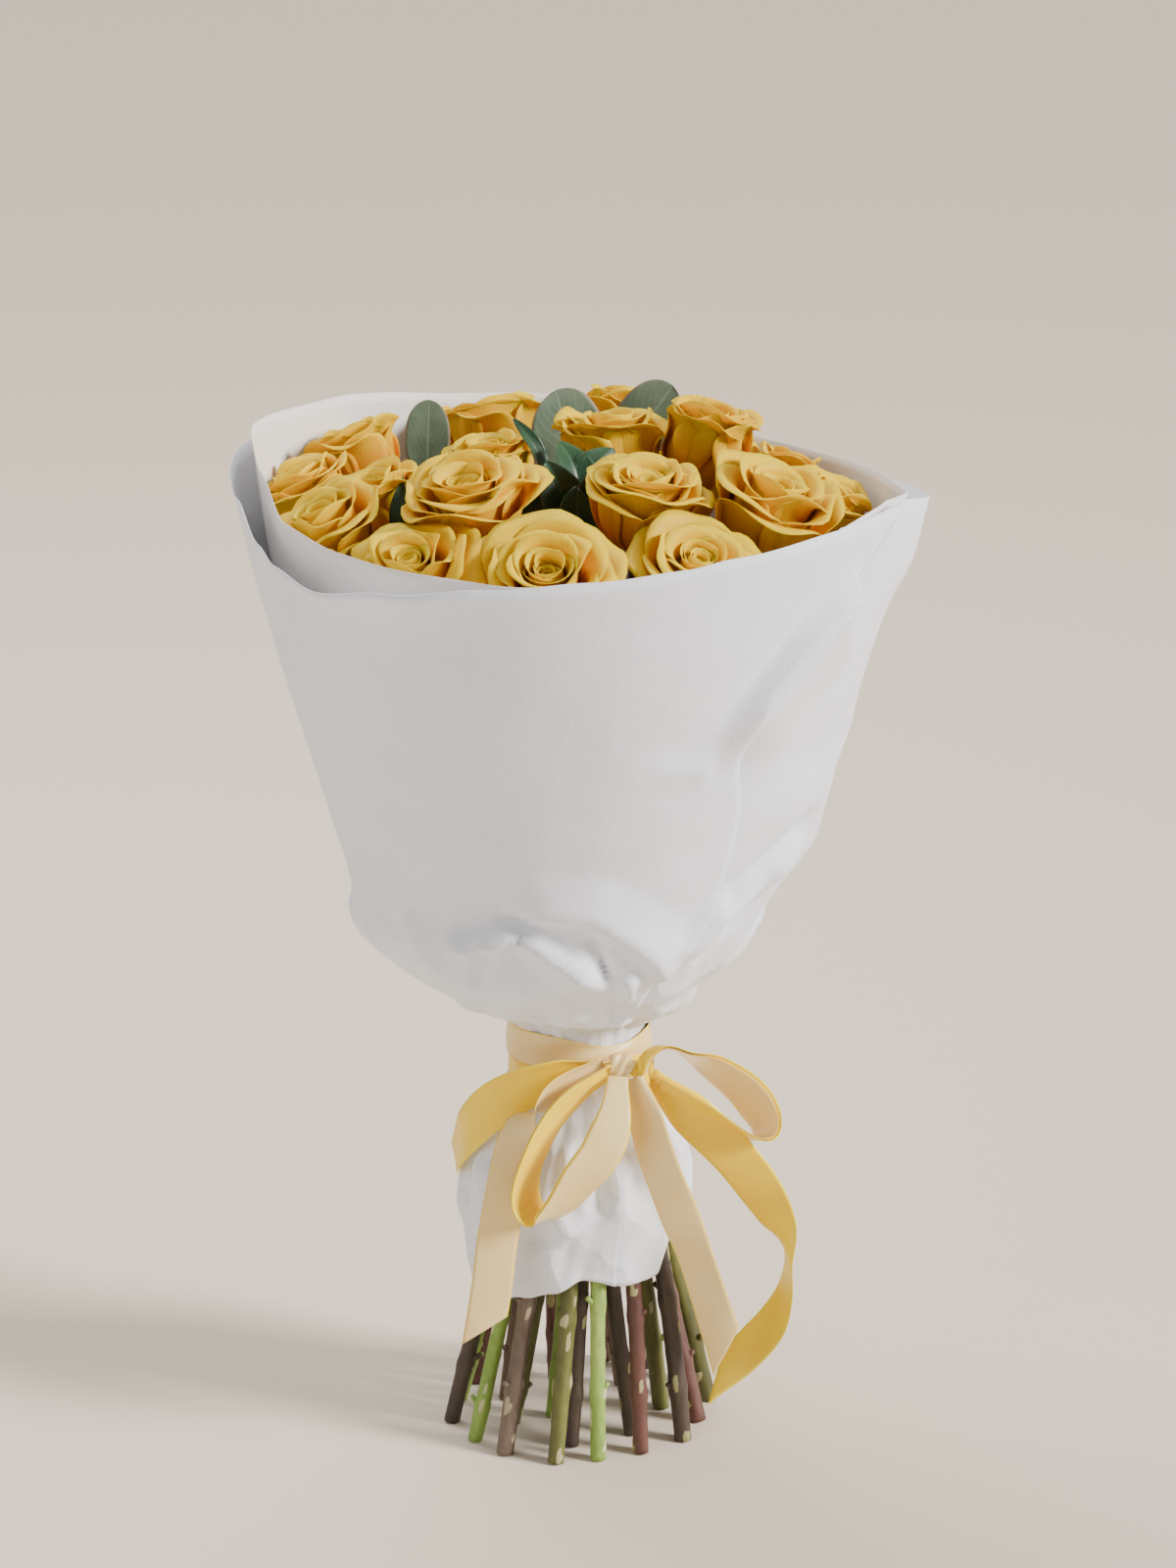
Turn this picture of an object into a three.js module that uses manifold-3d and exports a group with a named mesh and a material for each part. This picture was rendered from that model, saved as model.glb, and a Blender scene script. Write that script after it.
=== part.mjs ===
// A hand-tied bouquet of roses with eucalyptus and foliage, wrapped in two sheets of
// florist's paper and tied with a cream and yellow ribbon bow.
// Millimetres, +Z up. The bunch stands on its cut stem ends, at Z = 0.
import * as THREE from 'three';
import { mergeVertices } from 'three/addons/utils/BufferGeometryUtils.js';
import Module from 'manifold-3d';

const wasm = await Module();
wasm.setup();

// ---- Driving dimensions ----
const TIE = new THREE.Vector3(-5, 0, 221); // the middle of the tie, where all stems pass
const TIE_HALF_HEIGHT = 12; // the stems run side by side over this much, up and down
const STEM_RADIUS = 4;
const STEM_SIDES = 7;
const STEM_STEPS = 9;
const STALK_RADIUS = 1.3; // of a leaf's stalk
const STUB = 12; // how far a stem is drawn below the cut before it is trimmed
const GAP = 0.3; // between faces that meet

const ROSE_NECK = 42; // from the top of the stem to the middle of the open face
const ROSE_SEGMENTS = 11;

const PAPER_THICKNESS = 0.8;
const PAPER_SEGMENTS = 32;
const BAND_SEGMENTS = 24;
const RIBBON_THICKNESS = 0.8;
const CREAM_WIDTH = 22;
const YELLOW_WIDTH = 25;

// The stems pass the tie in two rings round one core stem. Azimuths are in degrees.
const OUTER_RING = { radius: 25.2, count: 16, start: -38, footRadius: 68, footTurn: -18 };
const INNER_RING = { radius: 13, count: 7, start: -33, footRadius: 42, footTurn: -16 };
const CORE = { radius: 0, count: 1, start: 0, footRadius: 14, footTurn: 200 };

// Each rose: the middle of its open face, its widest radius, and its slot at the tie.
const ROSES = [
  { face: [-122, 64, 541], radius: 25, ring: OUTER_RING, slot: 7 },
  { face: [-147, 16, 530], radius: 25, ring: OUTER_RING, slot: 8 },
  { face: [-107, -11, 541], radius: 23, ring: OUTER_RING, slot: 9 },
  { face: [-130, -65, 532], radius: 30, ring: OUTER_RING, slot: 11 },
  { face: [-58, -79, 545], radius: 30, ring: INNER_RING, slot: 5 },
  { face: [-50, 4, 553], radius: 24, ring: INNER_RING, slot: 3 },
  { face: [-51, 112, 540], radius: 26, ring: OUTER_RING, slot: 5 },
  { face: [-86, -121, 521], radius: 23, ring: OUTER_RING, slot: 12 },
  { face: [-19, -131, 527], radius: 33, ring: OUTER_RING, slot: 13 },
  { face: [14, 20, 552], radius: 25, ring: INNER_RING, slot: 1 },
  { face: [28, -72, 547], radius: 29, ring: INNER_RING, slot: 6 },
  { face: [61, 17, 548], radius: 21, ring: INNER_RING, slot: 0 },
  { face: [91, -55, 537], radius: 31, ring: OUTER_RING, slot: 15 },
  { face: [127, 5, 527], radius: 25, ring: OUTER_RING, slot: 0 },
  { face: [105, 51, 534], radius: 22, ring: OUTER_RING, slot: 1 },
  { face: [53, -113, 520], radius: 25, ring: OUTER_RING, slot: 14 },
  { face: [17, 123, 545], radius: 24, ring: OUTER_RING, slot: 4 },
  { face: [67, 105, 532], radius: 22, ring: OUTER_RING, slot: 3 },
  { face: [48, 66, 524], radius: 20, ring: OUTER_RING, slot: 2 },
];

// Each eucalyptus sprig: the top of its stem, its slot, and its round leaves
// (centre, width, length, and the leaf's turn in degrees: lean back, roll, heading).
const EUCALYPTUS = [
  {
    top: [-87, 46, 528], ring: OUTER_RING, slot: 6,
    leaves: [{ centre: [-86, 45, 551], width: 24, length: 38, turn: [8, 0, -12] }],
  },
  {
    top: [11, 78, 524], ring: INNER_RING, slot: 2,
    leaves: [
      { centre: [-8, 74, 547], width: 38, length: 46, turn: [6, -22, 10] },
      { centre: [32, 80, 554], width: 34, length: 40, turn: [10, 38, -14] },
    ],
  },
  {
    top: [-72, -14, 518], ring: INNER_RING, slot: 4,
    leaves: [
      { centre: [-78, -26, 537], width: 24, length: 30, turn: [-48, -30, 10] },
      { centre: [-86, 25, 541], width: 20, length: 32, turn: [-70, 8, 60] },
    ],
  },
];

// Each foliage sprig: the top of its stem, its slot, and its pointed leaves.
const FOLIAGE = [
  {
    top: [-9, -28, 528], ring: CORE, slot: 0,
    leaves: [
      { centre: [-16, -32, 540], width: 18, length: 34, turn: [-14, -26, 12] },
      { centre: [0, -36, 538], width: 18, length: 32, turn: [-30, 30, -18] },
      { centre: [-8, -20, 543], width: 16, length: 36, turn: [10, 2, 30] },
    ],
  },
  {
    top: [-100, -42, 518], ring: OUTER_RING, slot: 10,
    leaves: [
      { centre: [-99, -41, 530], width: 13, length: 36, turn: [8, -14, -24] },
      { centre: [-88, -48, 514], width: 14, length: 30, turn: [-20, 34, 20] },
    ],
  },
];

// The wrap's outside, as [radius, height] from the hem to the rim.
const OUTER_SHEET = [
  [58.5, 97], [62, 125], [61, 148], [52, 180], [41, 198], [36.8, 206], [36.8, 236],
  [48, 241], [60, 247], [76, 262], [106, 283], [120, 305], [127, 342], [167, 485],
  [178.5, 531],
];
const INNER_SHEET = [
  [51, 118], [51, 140], [43, 178], [37, 196], [34.8, 206], [34.8, 237],
  [45, 243], [57, 250], [73, 266], [102, 287.5], [115.5, 308], [122, 343], [161.5, 486],
  [172, 538],
];
const RIM_HEIGHT = 531;
const RIM_SHIFT = { x: -4, y: -9 }; // how far the rim's middle leans off the tie
const RIM_DEPTH = 0.94; // the rim's depth for its width
const RIM_RISE = 6.5; // the back of the rim is this much higher, and the front lower

// ---- Materials ----
function finish(color, roughness) {
  return new THREE.MeshStandardMaterial({ color, roughness, metalness: 0 });
}
const PETAL = finish('#f0bb2e', 0.6);
const BARK = finish('#5b3a2a', 0.7);
const EUCALYPTUS_BARK = finish('#7a5a48', 0.7);
const EUCALYPTUS_LEAF = finish('#6f8a78', 0.6);
const FOLIAGE_GREEN = finish('#2f4a33', 0.5);
const PAPER = finish('#e4e6ea', 0.8);
const CREAM_SATIN = finish('#f0d9a8', 0.4);
const YELLOW_SATIN = finish('#ffd800', 0.4);
const TWINE = finish('#b99b6b', 0.9);

// ---- Helpers ----
const point = (xyz) => new THREE.Vector3(...xyz);

function toSolid(geometry) {
  const bare = geometry.clone();
  bare.deleteAttribute('normal');
  bare.deleteAttribute('uv');
  const merged = mergeVertices(bare, 1e-4);
  return new wasm.Manifold(new wasm.Mesh({
    numProp: 3,
    vertProperties: new Float32Array(merged.attributes.position.array),
    triVerts: new Uint32Array(merged.index.array),
  }));
}

function fromSolid(solid) {
  const mesh = solid.getMesh();
  const geometry = new THREE.BufferGeometry();
  geometry.setAttribute('position', new THREE.BufferAttribute(mesh.vertProperties, 3));
  geometry.setIndex(new THREE.BufferAttribute(mesh.triVerts, 1));
  return geometry;
}

function addPiece(parent, name, geometry, material) {
  const mesh = new THREE.Mesh(geometry, material);
  mesh.name = name;
  parent.add(mesh);
  return mesh;
}

// A tube along a curve through the points.
function tube(points, radius, sides, steps) {
  const section = new THREE.Shape();
  for (let i = 0; i < sides; i++) {
    const angle = (2 * Math.PI * i) / sides;
    const corner = [radius * Math.cos(angle), radius * Math.sin(angle)];
    if (i === 0) section.moveTo(...corner);
    else section.lineTo(...corner);
  }
  const extrudePath = new THREE.CatmullRomCurve3(points);
  return new THREE.ExtrudeGeometry(section, { extrudePath, steps, bevelEnabled: false });
}

// ---- Stems ----
// The place on a ring at an azimuth in degrees, round the tie's own axis.
function onRing(radius, azimuth, height) {
  const angle = THREE.MathUtils.degToRad(azimuth);
  return new THREE.Vector3(
    TIE.x + radius * Math.cos(angle), TIE.y + radius * Math.sin(angle), height,
  );
}

// A stem's route from below its cut foot, side by side with the others through the tie,
// and out to its top. The feet stand a little unevenly round their ring.
function stemRoute({ ring, slot }, top) {
  const azimuth = ring.start + (360 * slot) / ring.count;
  const unevenness = 3 * Math.sin(2.4 * slot);
  const foot = onRing(ring.footRadius + unevenness, azimuth + ring.footTurn, 0);
  const low = onRing(ring.radius, azimuth, TIE.z - TIE_HALF_HEIGHT);
  const high = onRing(ring.radius, azimuth, TIE.z + TIE_HALF_HEIGHT);
  const below = foot.clone().sub(low).setLength(STUB).add(foot);
  return [
    below, foot.clone().lerp(low, 0.5), low, high, high.clone().lerp(top, 0.5), top,
  ];
}

function stemSolid(item, top) {
  const whole = toSolid(tube(stemRoute(item, top), STEM_RADIUS, STEM_SIDES, STEM_STEPS));
  return whole.trimByPlane([0, 0, 1], 0);
}

// The direction that a stem's upper part takes towards a place.
function upperAxis({ ring, slot }, place) {
  const azimuth = ring.start + (360 * slot) / ring.count;
  const high = onRing(ring.radius, azimuth, TIE.z + TIE_HALF_HEIGHT);
  return place.clone().sub(high).normalize();
}

// ---- Roses ----
// A bloom's outline round its axis, from the foot of the hip to the middle of the face.
function bloomOutline(radius) {
  return [
    [0, 0], [3.6, 0], [6, 5], [5.5, 10], [0.72 * radius, 22], [radius, 37],
    [0.95 * radius, 45], [0.7 * radius, 51], [0.3 * radius, 48], [0, 45],
  ].map(([r, h]) => new THREE.Vector2(r, h));
}

function roseBloom({ face, radius, ring, slot }) {
  const axis = upperAxis({ ring, slot }, point(face));
  const geometry = new THREE.LatheGeometry(bloomOutline(radius), ROSE_SEGMENTS);
  const turn = new THREE.Quaternion().setFromUnitVectors(new THREE.Vector3(0, 1, 0), axis);
  geometry.applyQuaternion(turn);
  const hip = point(face).addScaledVector(axis, -ROSE_NECK);
  geometry.translate(hip.x, hip.y, hip.z);
  return fromSolid(toSolid(geometry));
}

function addRoses(group) {
  ROSES.forEach((rose, index) => {
    const number = String(index + 1).padStart(2, '0');
    const axis = upperAxis(rose, point(rose.face));
    const top = point(rose.face).addScaledVector(axis, -ROSE_NECK - GAP);
    addPiece(group, `rose_stem_${number}`, fromSolid(stemSolid(rose, top)), BARK);
    addPiece(group, `rose_bloom_${number}`, roseBloom(rose), PETAL);
  });
}

// ---- Leaves ----
// A leaf blade: a thin lens, upright before it is turned.
function leafBlade({ centre, width, length, turn }) {
  const [lean, roll, heading] = turn.map(THREE.MathUtils.degToRad);
  const geometry = new THREE.SphereGeometry(1, 8, 6);
  geometry.scale(width / 2, length / 2, 0.7);
  geometry.rotateZ(-roll);
  geometry.rotateX(Math.PI / 2 - lean);
  geometry.rotateZ(heading);
  geometry.translate(...centre);
  return geometry;
}

function addEucalyptus(group) {
  let leafNumber = 0;
  EUCALYPTUS.forEach((sprig, index) => {
    const stem = stemSolid(sprig, point(sprig.top));
    addPiece(group, `eucalyptus_stem_${index + 1}`, fromSolid(stem), EUCALYPTUS_BARK);
    for (const leaf of sprig.leaves) {
      leafNumber += 1;
      addPiece(group, `eucalyptus_leaf_${leafNumber}`, leafBlade(leaf), EUCALYPTUS_LEAF);
    }
  });
}

// A foliage sprig is one grown piece: its stem with its leaves, joined by short stalks.
function foliageSprig(sprig) {
  const top = point(sprig.top);
  let sprigSolid = stemSolid(sprig, top);
  for (const leaf of sprig.leaves) {
    const centre = point(leaf.centre);
    const stalk = tube([top.clone().lerp(centre, -0.15), centre], STALK_RADIUS, 4, 1);
    sprigSolid = sprigSolid.add(toSolid(stalk)).add(toSolid(leafBlade(leaf)));
  }
  return sprigSolid;
}

function addFoliage(group) {
  FOLIAGE.forEach((sprig, index) => {
    const solid = foliageSprig(sprig);
    addPiece(group, `foliage_sprig_${index + 1}`, fromSolid(solid), FOLIAGE_GREEN);
  });
}

// ---- Paper wrap ----
// The outline moved inwards by a distance, along the normal at each of its points.
function insetOutline(outline, distance) {
  return outline.map(([r, h], i) => {
    const before = outline[Math.max(i - 1, 0)];
    const after = outline[Math.min(i + 1, outline.length - 1)];
    const along = new THREE.Vector2(after[0] - before[0], after[1] - before[1]).normalize();
    return [r - distance * along.y, h + distance * along.x];
  });
}

// A round sheet moulded to the wrap's lean, its oval mouth and its sloping rim.
function wrapSheet(outline) {
  const wall = [...outline, ...insetOutline(outline, PAPER_THICKNESS).reverse(), outline[0]];
  const profile = wall.map(([r, h]) => new THREE.Vector2(r, h));
  const geometry = new THREE.LatheGeometry(profile, PAPER_SEGMENTS);
  geometry.rotateX(Math.PI / 2);
  const { position } = geometry.attributes;
  for (let i = 0; i < position.count; i++) {
    const height = position.getZ(i);
    const flare = Math.max(0, (height - TIE.z) / (RIM_HEIGHT - TIE.z));
    const depth = 1 - (1 - RIM_DEPTH) * flare;
    const x = position.getX(i) + TIE.x + RIM_SHIFT.x * flare;
    const y = position.getY(i) * depth + TIE.y + RIM_SHIFT.y * flare;
    const rise = RIM_RISE * (position.getY(i) / OUTER_SHEET.at(-1)[0]) * flare ** 4;
    position.setXYZ(i, x, y, height + rise);
  }
  return fromSolid(toSolid(geometry));
}

// ---- Tie and ribbons ----
// A flat band round the tie, from one height to another.
function band(innerRadius, thickness, bottom, top) {
  const profile = [
    [innerRadius, bottom], [innerRadius + thickness, bottom],
    [innerRadius + thickness, top], [innerRadius, top], [innerRadius, bottom],
  ].map(([r, h]) => new THREE.Vector2(r, h));
  const geometry = new THREE.LatheGeometry(profile, BAND_SEGMENTS);
  geometry.rotateX(Math.PI / 2);
  geometry.translate(TIE.x, TIE.y, 0);
  return fromSolid(toSolid(geometry));
}

// A ribbon strip along a curve. Its width turns from the first across direction to the last.
function ribbonStrip({ route, across, width, steps }) {
  const curve = new THREE.CatmullRomCurve3(route.map(point));
  const [first, last] = across.map(point);
  const geometry = new THREE.BoxGeometry(1, width, RIBBON_THICKNESS, steps, 1, 1);
  const { position } = geometry.attributes;
  for (let i = 0; i < position.count; i++) {
    const share = THREE.MathUtils.clamp(position.getX(i) + 0.5, 0, 1);
    const along = curve.getTangentAt(share);
    const side = first.clone().lerp(last, share);
    side.addScaledVector(along, -side.dot(along)).normalize();
    const face = along.clone().cross(side);
    const place = curve.getPointAt(share);
    place.addScaledVector(side, position.getY(i)).addScaledVector(face, position.getZ(i));
    position.setXYZ(i, place.x, place.y, place.z);
  }
  return geometry;
}

// The knot where both ribbons cross: a flattened pad in front of the bands.
function bowKnot() {
  const geometry = new THREE.SphereGeometry(1, 12, 8);
  geometry.scale(10, 5, 9);
  geometry.translate(TIE.x + 24, TIE.y - 45, TIE.z + 6);
  return geometry;
}

const STRIPS = [
  {
    name: 'bow_loop_left', material: CREAM_SATIN, width: CREAM_WIDTH, steps: 16,
    route: [
      [9, -65, 218], [-6, -72, 203], [-23, -76, 187], [-33, -78, 172], [-29, -79, 162],
      [-15, -81, 165], [4, -81, 186], [16, -73, 207],
    ],
    across: [[0.5, -0.8, 0.2], [0.6, -0.7, 0.2]],
  },
  {
    name: 'bow_loop_right', material: YELLOW_SATIN, width: YELLOW_WIDTH, steps: 16,
    route: [
      [31, -48, 228], [46, -50, 233], [70, -52, 224], [90, -54, 209], [97, -57, 197],
      [88, -62, 194], [66, -62, 206], [44, -57, 216],
    ],
    across: [[0.2, -0.8, 0.6], [0.2, -0.8, 0.6]],
  },
  {
    name: 'tail_cream_left', material: CREAM_SATIN, width: CREAM_WIDTH, steps: 14,
    route: [
      [7, -46, 228], [-10, -52, 223], [-27, -57, 211], [-39, -61, 190], [-47, -63, 160],
      [-52, -65, 126], [-57, -66, 86],
    ],
    across: [[0.1, 0.2, 1], [-1, 0.25, 0.2]],
  },
  {
    name: 'tail_cream_right', material: CREAM_SATIN, width: CREAM_WIDTH, steps: 14,
    route: [
      [29, -58, 214], [36, -64, 198], [43, -67, 177], [51, -69, 147], [61, -71, 113],
      [71, -73, 86], [78, -75, 66],
    ],
    across: [[1, 0, 0], [1, 0.1, 0.1]],
  },
  {
    name: 'tail_yellow_right', material: YELLOW_SATIN, width: YELLOW_WIDTH, steps: 16,
    route: [
      [36, -39, 214], [56, -43, 196], [74, -46, 172], [92, -50, 146], [105, -53, 115],
      [107, -54, 92], [98, -52, 68], [80, -48, 48],
    ],
    across: [[0.5, -0.5, 0.5], [0.3, -0.9, 0.3]],
  },
  {
    name: 'tail_yellow_left', material: YELLOW_SATIN, width: YELLOW_WIDTH, steps: 12,
    route: [
      [-8, -48, 203], [-28, -49, 198], [-48, -45, 186], [-62, -37, 171], [-72, -25, 155],
      [-77, -13, 140],
    ],
    across: [[0, 0, 1], [-0.15, 0.85, 0.5]],
  },
];

function addRibbons(group) {
  addPiece(group, 'binding_twine', band(32, 1.2, TIE.z - 7, TIE.z + 7), TWINE);
  addPiece(group, 'ribbon_band_cream', band(37.8, 0.8, TIE.z - 3, TIE.z + 12), CREAM_SATIN);
  addPiece(group, 'ribbon_band_yellow', band(37.8, 0.8, TIE.z - 15, TIE.z - 4), YELLOW_SATIN);
  addPiece(group, 'bow_knot', bowKnot(), YELLOW_SATIN);
  for (const strip of STRIPS) {
    addPiece(group, strip.name, ribbonStrip(strip), strip.material);
  }
}

// ---- The whole bouquet ----
const bouquet = new THREE.Group();
addRoses(bouquet);
addEucalyptus(bouquet);
addFoliage(bouquet);
addPiece(bouquet, 'wrap_outer_sheet', wrapSheet(OUTER_SHEET), PAPER);
addPiece(bouquet, 'wrap_inner_sheet', wrapSheet(INNER_SHEET), PAPER);
addRibbons(bouquet);

// The origin is the middle of the bouquet's box, on the surface that it stands on.
const box = new THREE.Box3().setFromObject(bouquet);
const middle = box.getCenter(new THREE.Vector3());
bouquet.position.set(-middle.x, -middle.y, -box.min.z);

export default bouquet;
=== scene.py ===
"""A hand-tied bouquet of roses with eucalyptus and foliage, in a flared wrap of white paper,
tied with a cream and yellow satin bow. It stands on its cut stem ends."""

import math
import random

import bmesh
import bpy
from mathutils import Matrix, Vector, noise


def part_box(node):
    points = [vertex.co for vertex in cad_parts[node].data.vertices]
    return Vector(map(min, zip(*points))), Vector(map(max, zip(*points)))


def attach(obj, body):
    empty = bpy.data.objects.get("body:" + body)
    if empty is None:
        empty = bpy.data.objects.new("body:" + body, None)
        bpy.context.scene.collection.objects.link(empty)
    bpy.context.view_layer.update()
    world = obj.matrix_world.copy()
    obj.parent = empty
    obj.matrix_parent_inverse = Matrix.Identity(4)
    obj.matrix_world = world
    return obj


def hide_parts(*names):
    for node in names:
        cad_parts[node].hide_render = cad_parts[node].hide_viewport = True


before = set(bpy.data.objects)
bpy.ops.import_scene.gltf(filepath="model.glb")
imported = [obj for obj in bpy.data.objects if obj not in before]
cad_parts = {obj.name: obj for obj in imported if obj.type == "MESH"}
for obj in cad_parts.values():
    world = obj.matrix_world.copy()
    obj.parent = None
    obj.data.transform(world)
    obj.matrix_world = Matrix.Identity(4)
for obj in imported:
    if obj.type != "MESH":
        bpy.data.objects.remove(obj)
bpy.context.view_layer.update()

MM = 0.001
GOLDEN_TURN = math.radians(137.5)
FULL_TURN = 2 * math.pi


# ---- Places, all worked out from the frame ----
def box_middle(node):
    """The middle of a node's box."""
    low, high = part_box(node)
    return (low + high) / 2


TIE = box_middle("binding_twine")


def at_tie(x, y, height):
    """A place from its distance off the tie's axis and its height over the floor, in mm."""
    return Vector((TIE.x + x * MM, TIE.y + y * MM, height * MM))


CAMERA_PLACE = (5, -2600, 1240)
CAMERA_PITCH = 18.5  # degrees by which it looks down


def make_camera():
    """A camera in front of the bow, looking a little down on the bouquet."""
    camera = bpy.data.objects.new("camera", bpy.data.cameras.new("camera"))
    bpy.context.collection.objects.link(camera)
    camera.data.lens = 117
    camera.data.sensor_width = 36
    camera.data.sensor_fit = "AUTO"
    camera.location = at_tie(*CAMERA_PLACE)
    camera.rotation_euler = (math.radians(90 - CAMERA_PITCH), 0, 0)
    bpy.context.scene.camera = camera


make_camera()


# ---- Small helpers ----
def smooth(low, high, value):
    """Rises smoothly from 0 at low to 1 at high."""
    share = min(max((value - low) / (high - low), 0.0), 1.0)
    return share * share * (3 - 2 * share)


def mix(a, b, share):
    """A value a share of the way from a to b."""
    return a + (b - a) * share


def through(points, share):
    """The place at a share of the way along a smooth line through some points."""
    count = len(points) - 1
    place = min(max(share, 0.0), 1.0) * count
    i = min(int(place), count - 1)
    t = place - i
    p1, p2 = points[i], points[i + 1]
    p0 = points[i - 1] if i > 0 else p1 * 2 - p2
    p3 = points[i + 2] if i + 2 <= count else p2 * 2 - p1
    return 0.5 * (
        p1 * 2 + (p2 - p0) * t + (p0 * 2 - p1 * 5 + p2 * 4 - p3) * t * t
        + (p1 * 3 - p0 - p2 * 3 + p3) * t ** 3
    )


FINE_STEPS = 400


def evenly(points, steps):
    """Points a steady distance apart along a smooth line through some points."""
    fine = [through(points, k / FINE_STEPS) for k in range(FINE_STEPS + 1)]
    reach = [0.0]
    for a, b in zip(fine, fine[1:]):
        reach.append(reach[-1] + (b - a).length)
    spread, k = [], 0
    for step in range(steps + 1):
        wanted = reach[-1] * step / steps
        while k < FINE_STEPS - 1 and reach[k + 1] < wanted:
            k += 1
        part = (wanted - reach[k]) / max(reach[k + 1] - reach[k], 1e-9)
        spread.append(fine[k].lerp(fine[k + 1], part))
    return spread


def wrapped(azimuth):
    """The same direction, from -180 to 180 degrees."""
    return (azimuth + 180) % 360 - 180


def profile_line(profile, steps):
    """A profile's (radius, height) points, smoothed and a steady distance apart."""
    return evenly([Vector((radius, height, 0)) for radius, height in profile], steps)


def round_value(pairs, azimuth):
    """A value that changes smoothly round the bouquet, from (azimuth, value) pairs."""
    azimuth = wrapped(azimuth)
    ordered = [(pairs[-1][0] - 360, pairs[-1][1])] + pairs + [(pairs[0][0] + 360, pairs[0][1])]
    for (a0, h0), (a1, h1) in zip(ordered, ordered[1:]):
        if a0 <= azimuth <= a1:
            return mix(h0, h1, smooth(a0, a1, azimuth))
    return pairs[0][1]


def finished(name, bm, material, nodes, thickness=None):
    """Turns a bmesh into a smooth piece that rides on the bouquet and stands for its nodes."""
    bmesh.ops.recalc_face_normals(bm, faces=bm.faces)
    mesh = bpy.data.meshes.new(name)
    bm.to_mesh(mesh)
    bm.free()
    mesh.polygons.foreach_set("use_smooth", [True] * len(mesh.polygons))
    mesh.materials.append(material)
    piece = bpy.data.objects.new(name, mesh)
    bpy.context.collection.objects.link(piece)
    if thickness:
        wall = piece.modifiers.new("Thickness", "SOLIDIFY")
        wall.thickness = thickness * MM
        wall.offset = 0
    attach(piece, "root")
    if nodes:
        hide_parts(*nodes)
    return piece


def new_shape():
    """An empty bmesh and its UV layer."""
    bm = bmesh.new()
    return bm, bm.loops.layers.uv.new("UVMap")


def shaped_grid(bm, columns, rows, place, uv_layer, tone_layer=None, tone=0.0):
    """Adds a grid of columns by rows of faces and moves its points to place(across, along)."""
    made = bmesh.ops.create_grid(bm, x_segments=columns, y_segments=rows, size=1.0)
    shares = {}
    for vert in made["verts"]:
        across, along = (vert.co.x + 1) / 2, (vert.co.y + 1) / 2
        shares[vert] = (across, along)
        vert.co = place(across, along)
        if tone_layer is not None:
            vert[tone_layer] = tone
    for vert in made["verts"]:
        for loop in vert.link_loops:
            loop[uv_layer].uv = shares[vert]
    return made["verts"]


def weld(bm, verts):
    """Joins the edges of a grid that meet."""
    bmesh.ops.remove_doubles(bm, verts=verts, dist=0.01 * MM)


# ---- Materials ----
def new_material(name, roughness, specular=0.4):
    """A material, its node tree and its shader."""
    material = bpy.data.materials.new(name)
    material.use_nodes = True
    shader = material.node_tree.nodes["Principled BSDF"]
    shader.inputs["Roughness"].default_value = roughness
    shader.inputs["Specular IOR Level"].default_value = specular
    return material, material.node_tree, shader


def ramp(tree, source, stops):
    """A colour ramp from a value, with its stops as (place, colour)."""
    node = tree.nodes.new("ShaderNodeValToRGB")
    elements = node.color_ramp.elements
    while len(elements) < len(stops):
        elements.new(0.5)
    for element, (place, colour) in zip(elements, stops):
        element.position = place
        element.color = (*colour, 1)
    tree.links.new(source, node.inputs["Fac"])
    return node.outputs["Color"]


def mixed(tree, share, a, b, kind="MIX"):
    """Two colours mixed by a share. Each is a socket or a plain colour."""
    node = tree.nodes.new("ShaderNodeMix")
    node.data_type = "RGBA"
    node.blend_type = kind
    for value, socket in ((share, 0), (a, 6), (b, 7)):
        if isinstance(value, bpy.types.NodeSocket):
            tree.links.new(value, node.inputs[socket])
        elif isinstance(value, (int, float)):
            node.inputs[socket].default_value = value
        else:
            node.inputs[socket].default_value = (*value, 1)
    return node.outputs[2]


def maths(tree, operation, a, b):
    """One operation on two values. Each is a socket or a number."""
    node = tree.nodes.new("ShaderNodeMath")
    node.operation = operation
    for value, socket in ((a, 0), (b, 1)):
        if isinstance(value, bpy.types.NodeSocket):
            tree.links.new(value, node.inputs[socket])
        else:
            node.inputs[socket].default_value = value
    return node.outputs[0]


def object_noise(tree, scale, detail=3.0, stretch=(1, 1, 1)):
    """Noise on the piece's own coordinates."""
    place = tree.nodes.new("ShaderNodeTexCoord")
    mapping = tree.nodes.new("ShaderNodeMapping")
    mapping.inputs["Scale"].default_value = stretch
    tree.links.new(place.outputs["Object"], mapping.inputs["Vector"])
    node = tree.nodes.new("ShaderNodeTexNoise")
    node.inputs["Scale"].default_value = scale
    node.inputs["Detail"].default_value = detail
    tree.links.new(mapping.outputs["Vector"], node.inputs["Vector"])
    return node.outputs["Fac"]


def uv_shares(tree):
    """The across and along shares of a piece's UV map."""
    uv = tree.nodes.new("ShaderNodeUVMap")
    uv.uv_map = "UVMap"
    parts = tree.nodes.new("ShaderNodeSeparateXYZ")
    tree.links.new(uv.outputs["UV"], parts.inputs[0])
    return parts.outputs["X"], parts.outputs["Y"]


def bump(tree, shader, height, strength, distance):
    """Fine relief in a material's surface, from a height."""
    node = tree.nodes.new("ShaderNodeBump")
    node.inputs["Strength"].default_value = strength
    node.inputs["Distance"].default_value = distance
    tree.links.new(height, node.inputs["Height"])
    tree.links.new(node.outputs["Normal"], shader.inputs["Normal"])


def attribute(tree, name):
    """A value that the mesh carries at its points."""
    node = tree.nodes.new("ShaderNodeAttribute")
    node.attribute_name = name
    return node.outputs["Fac"]


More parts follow.
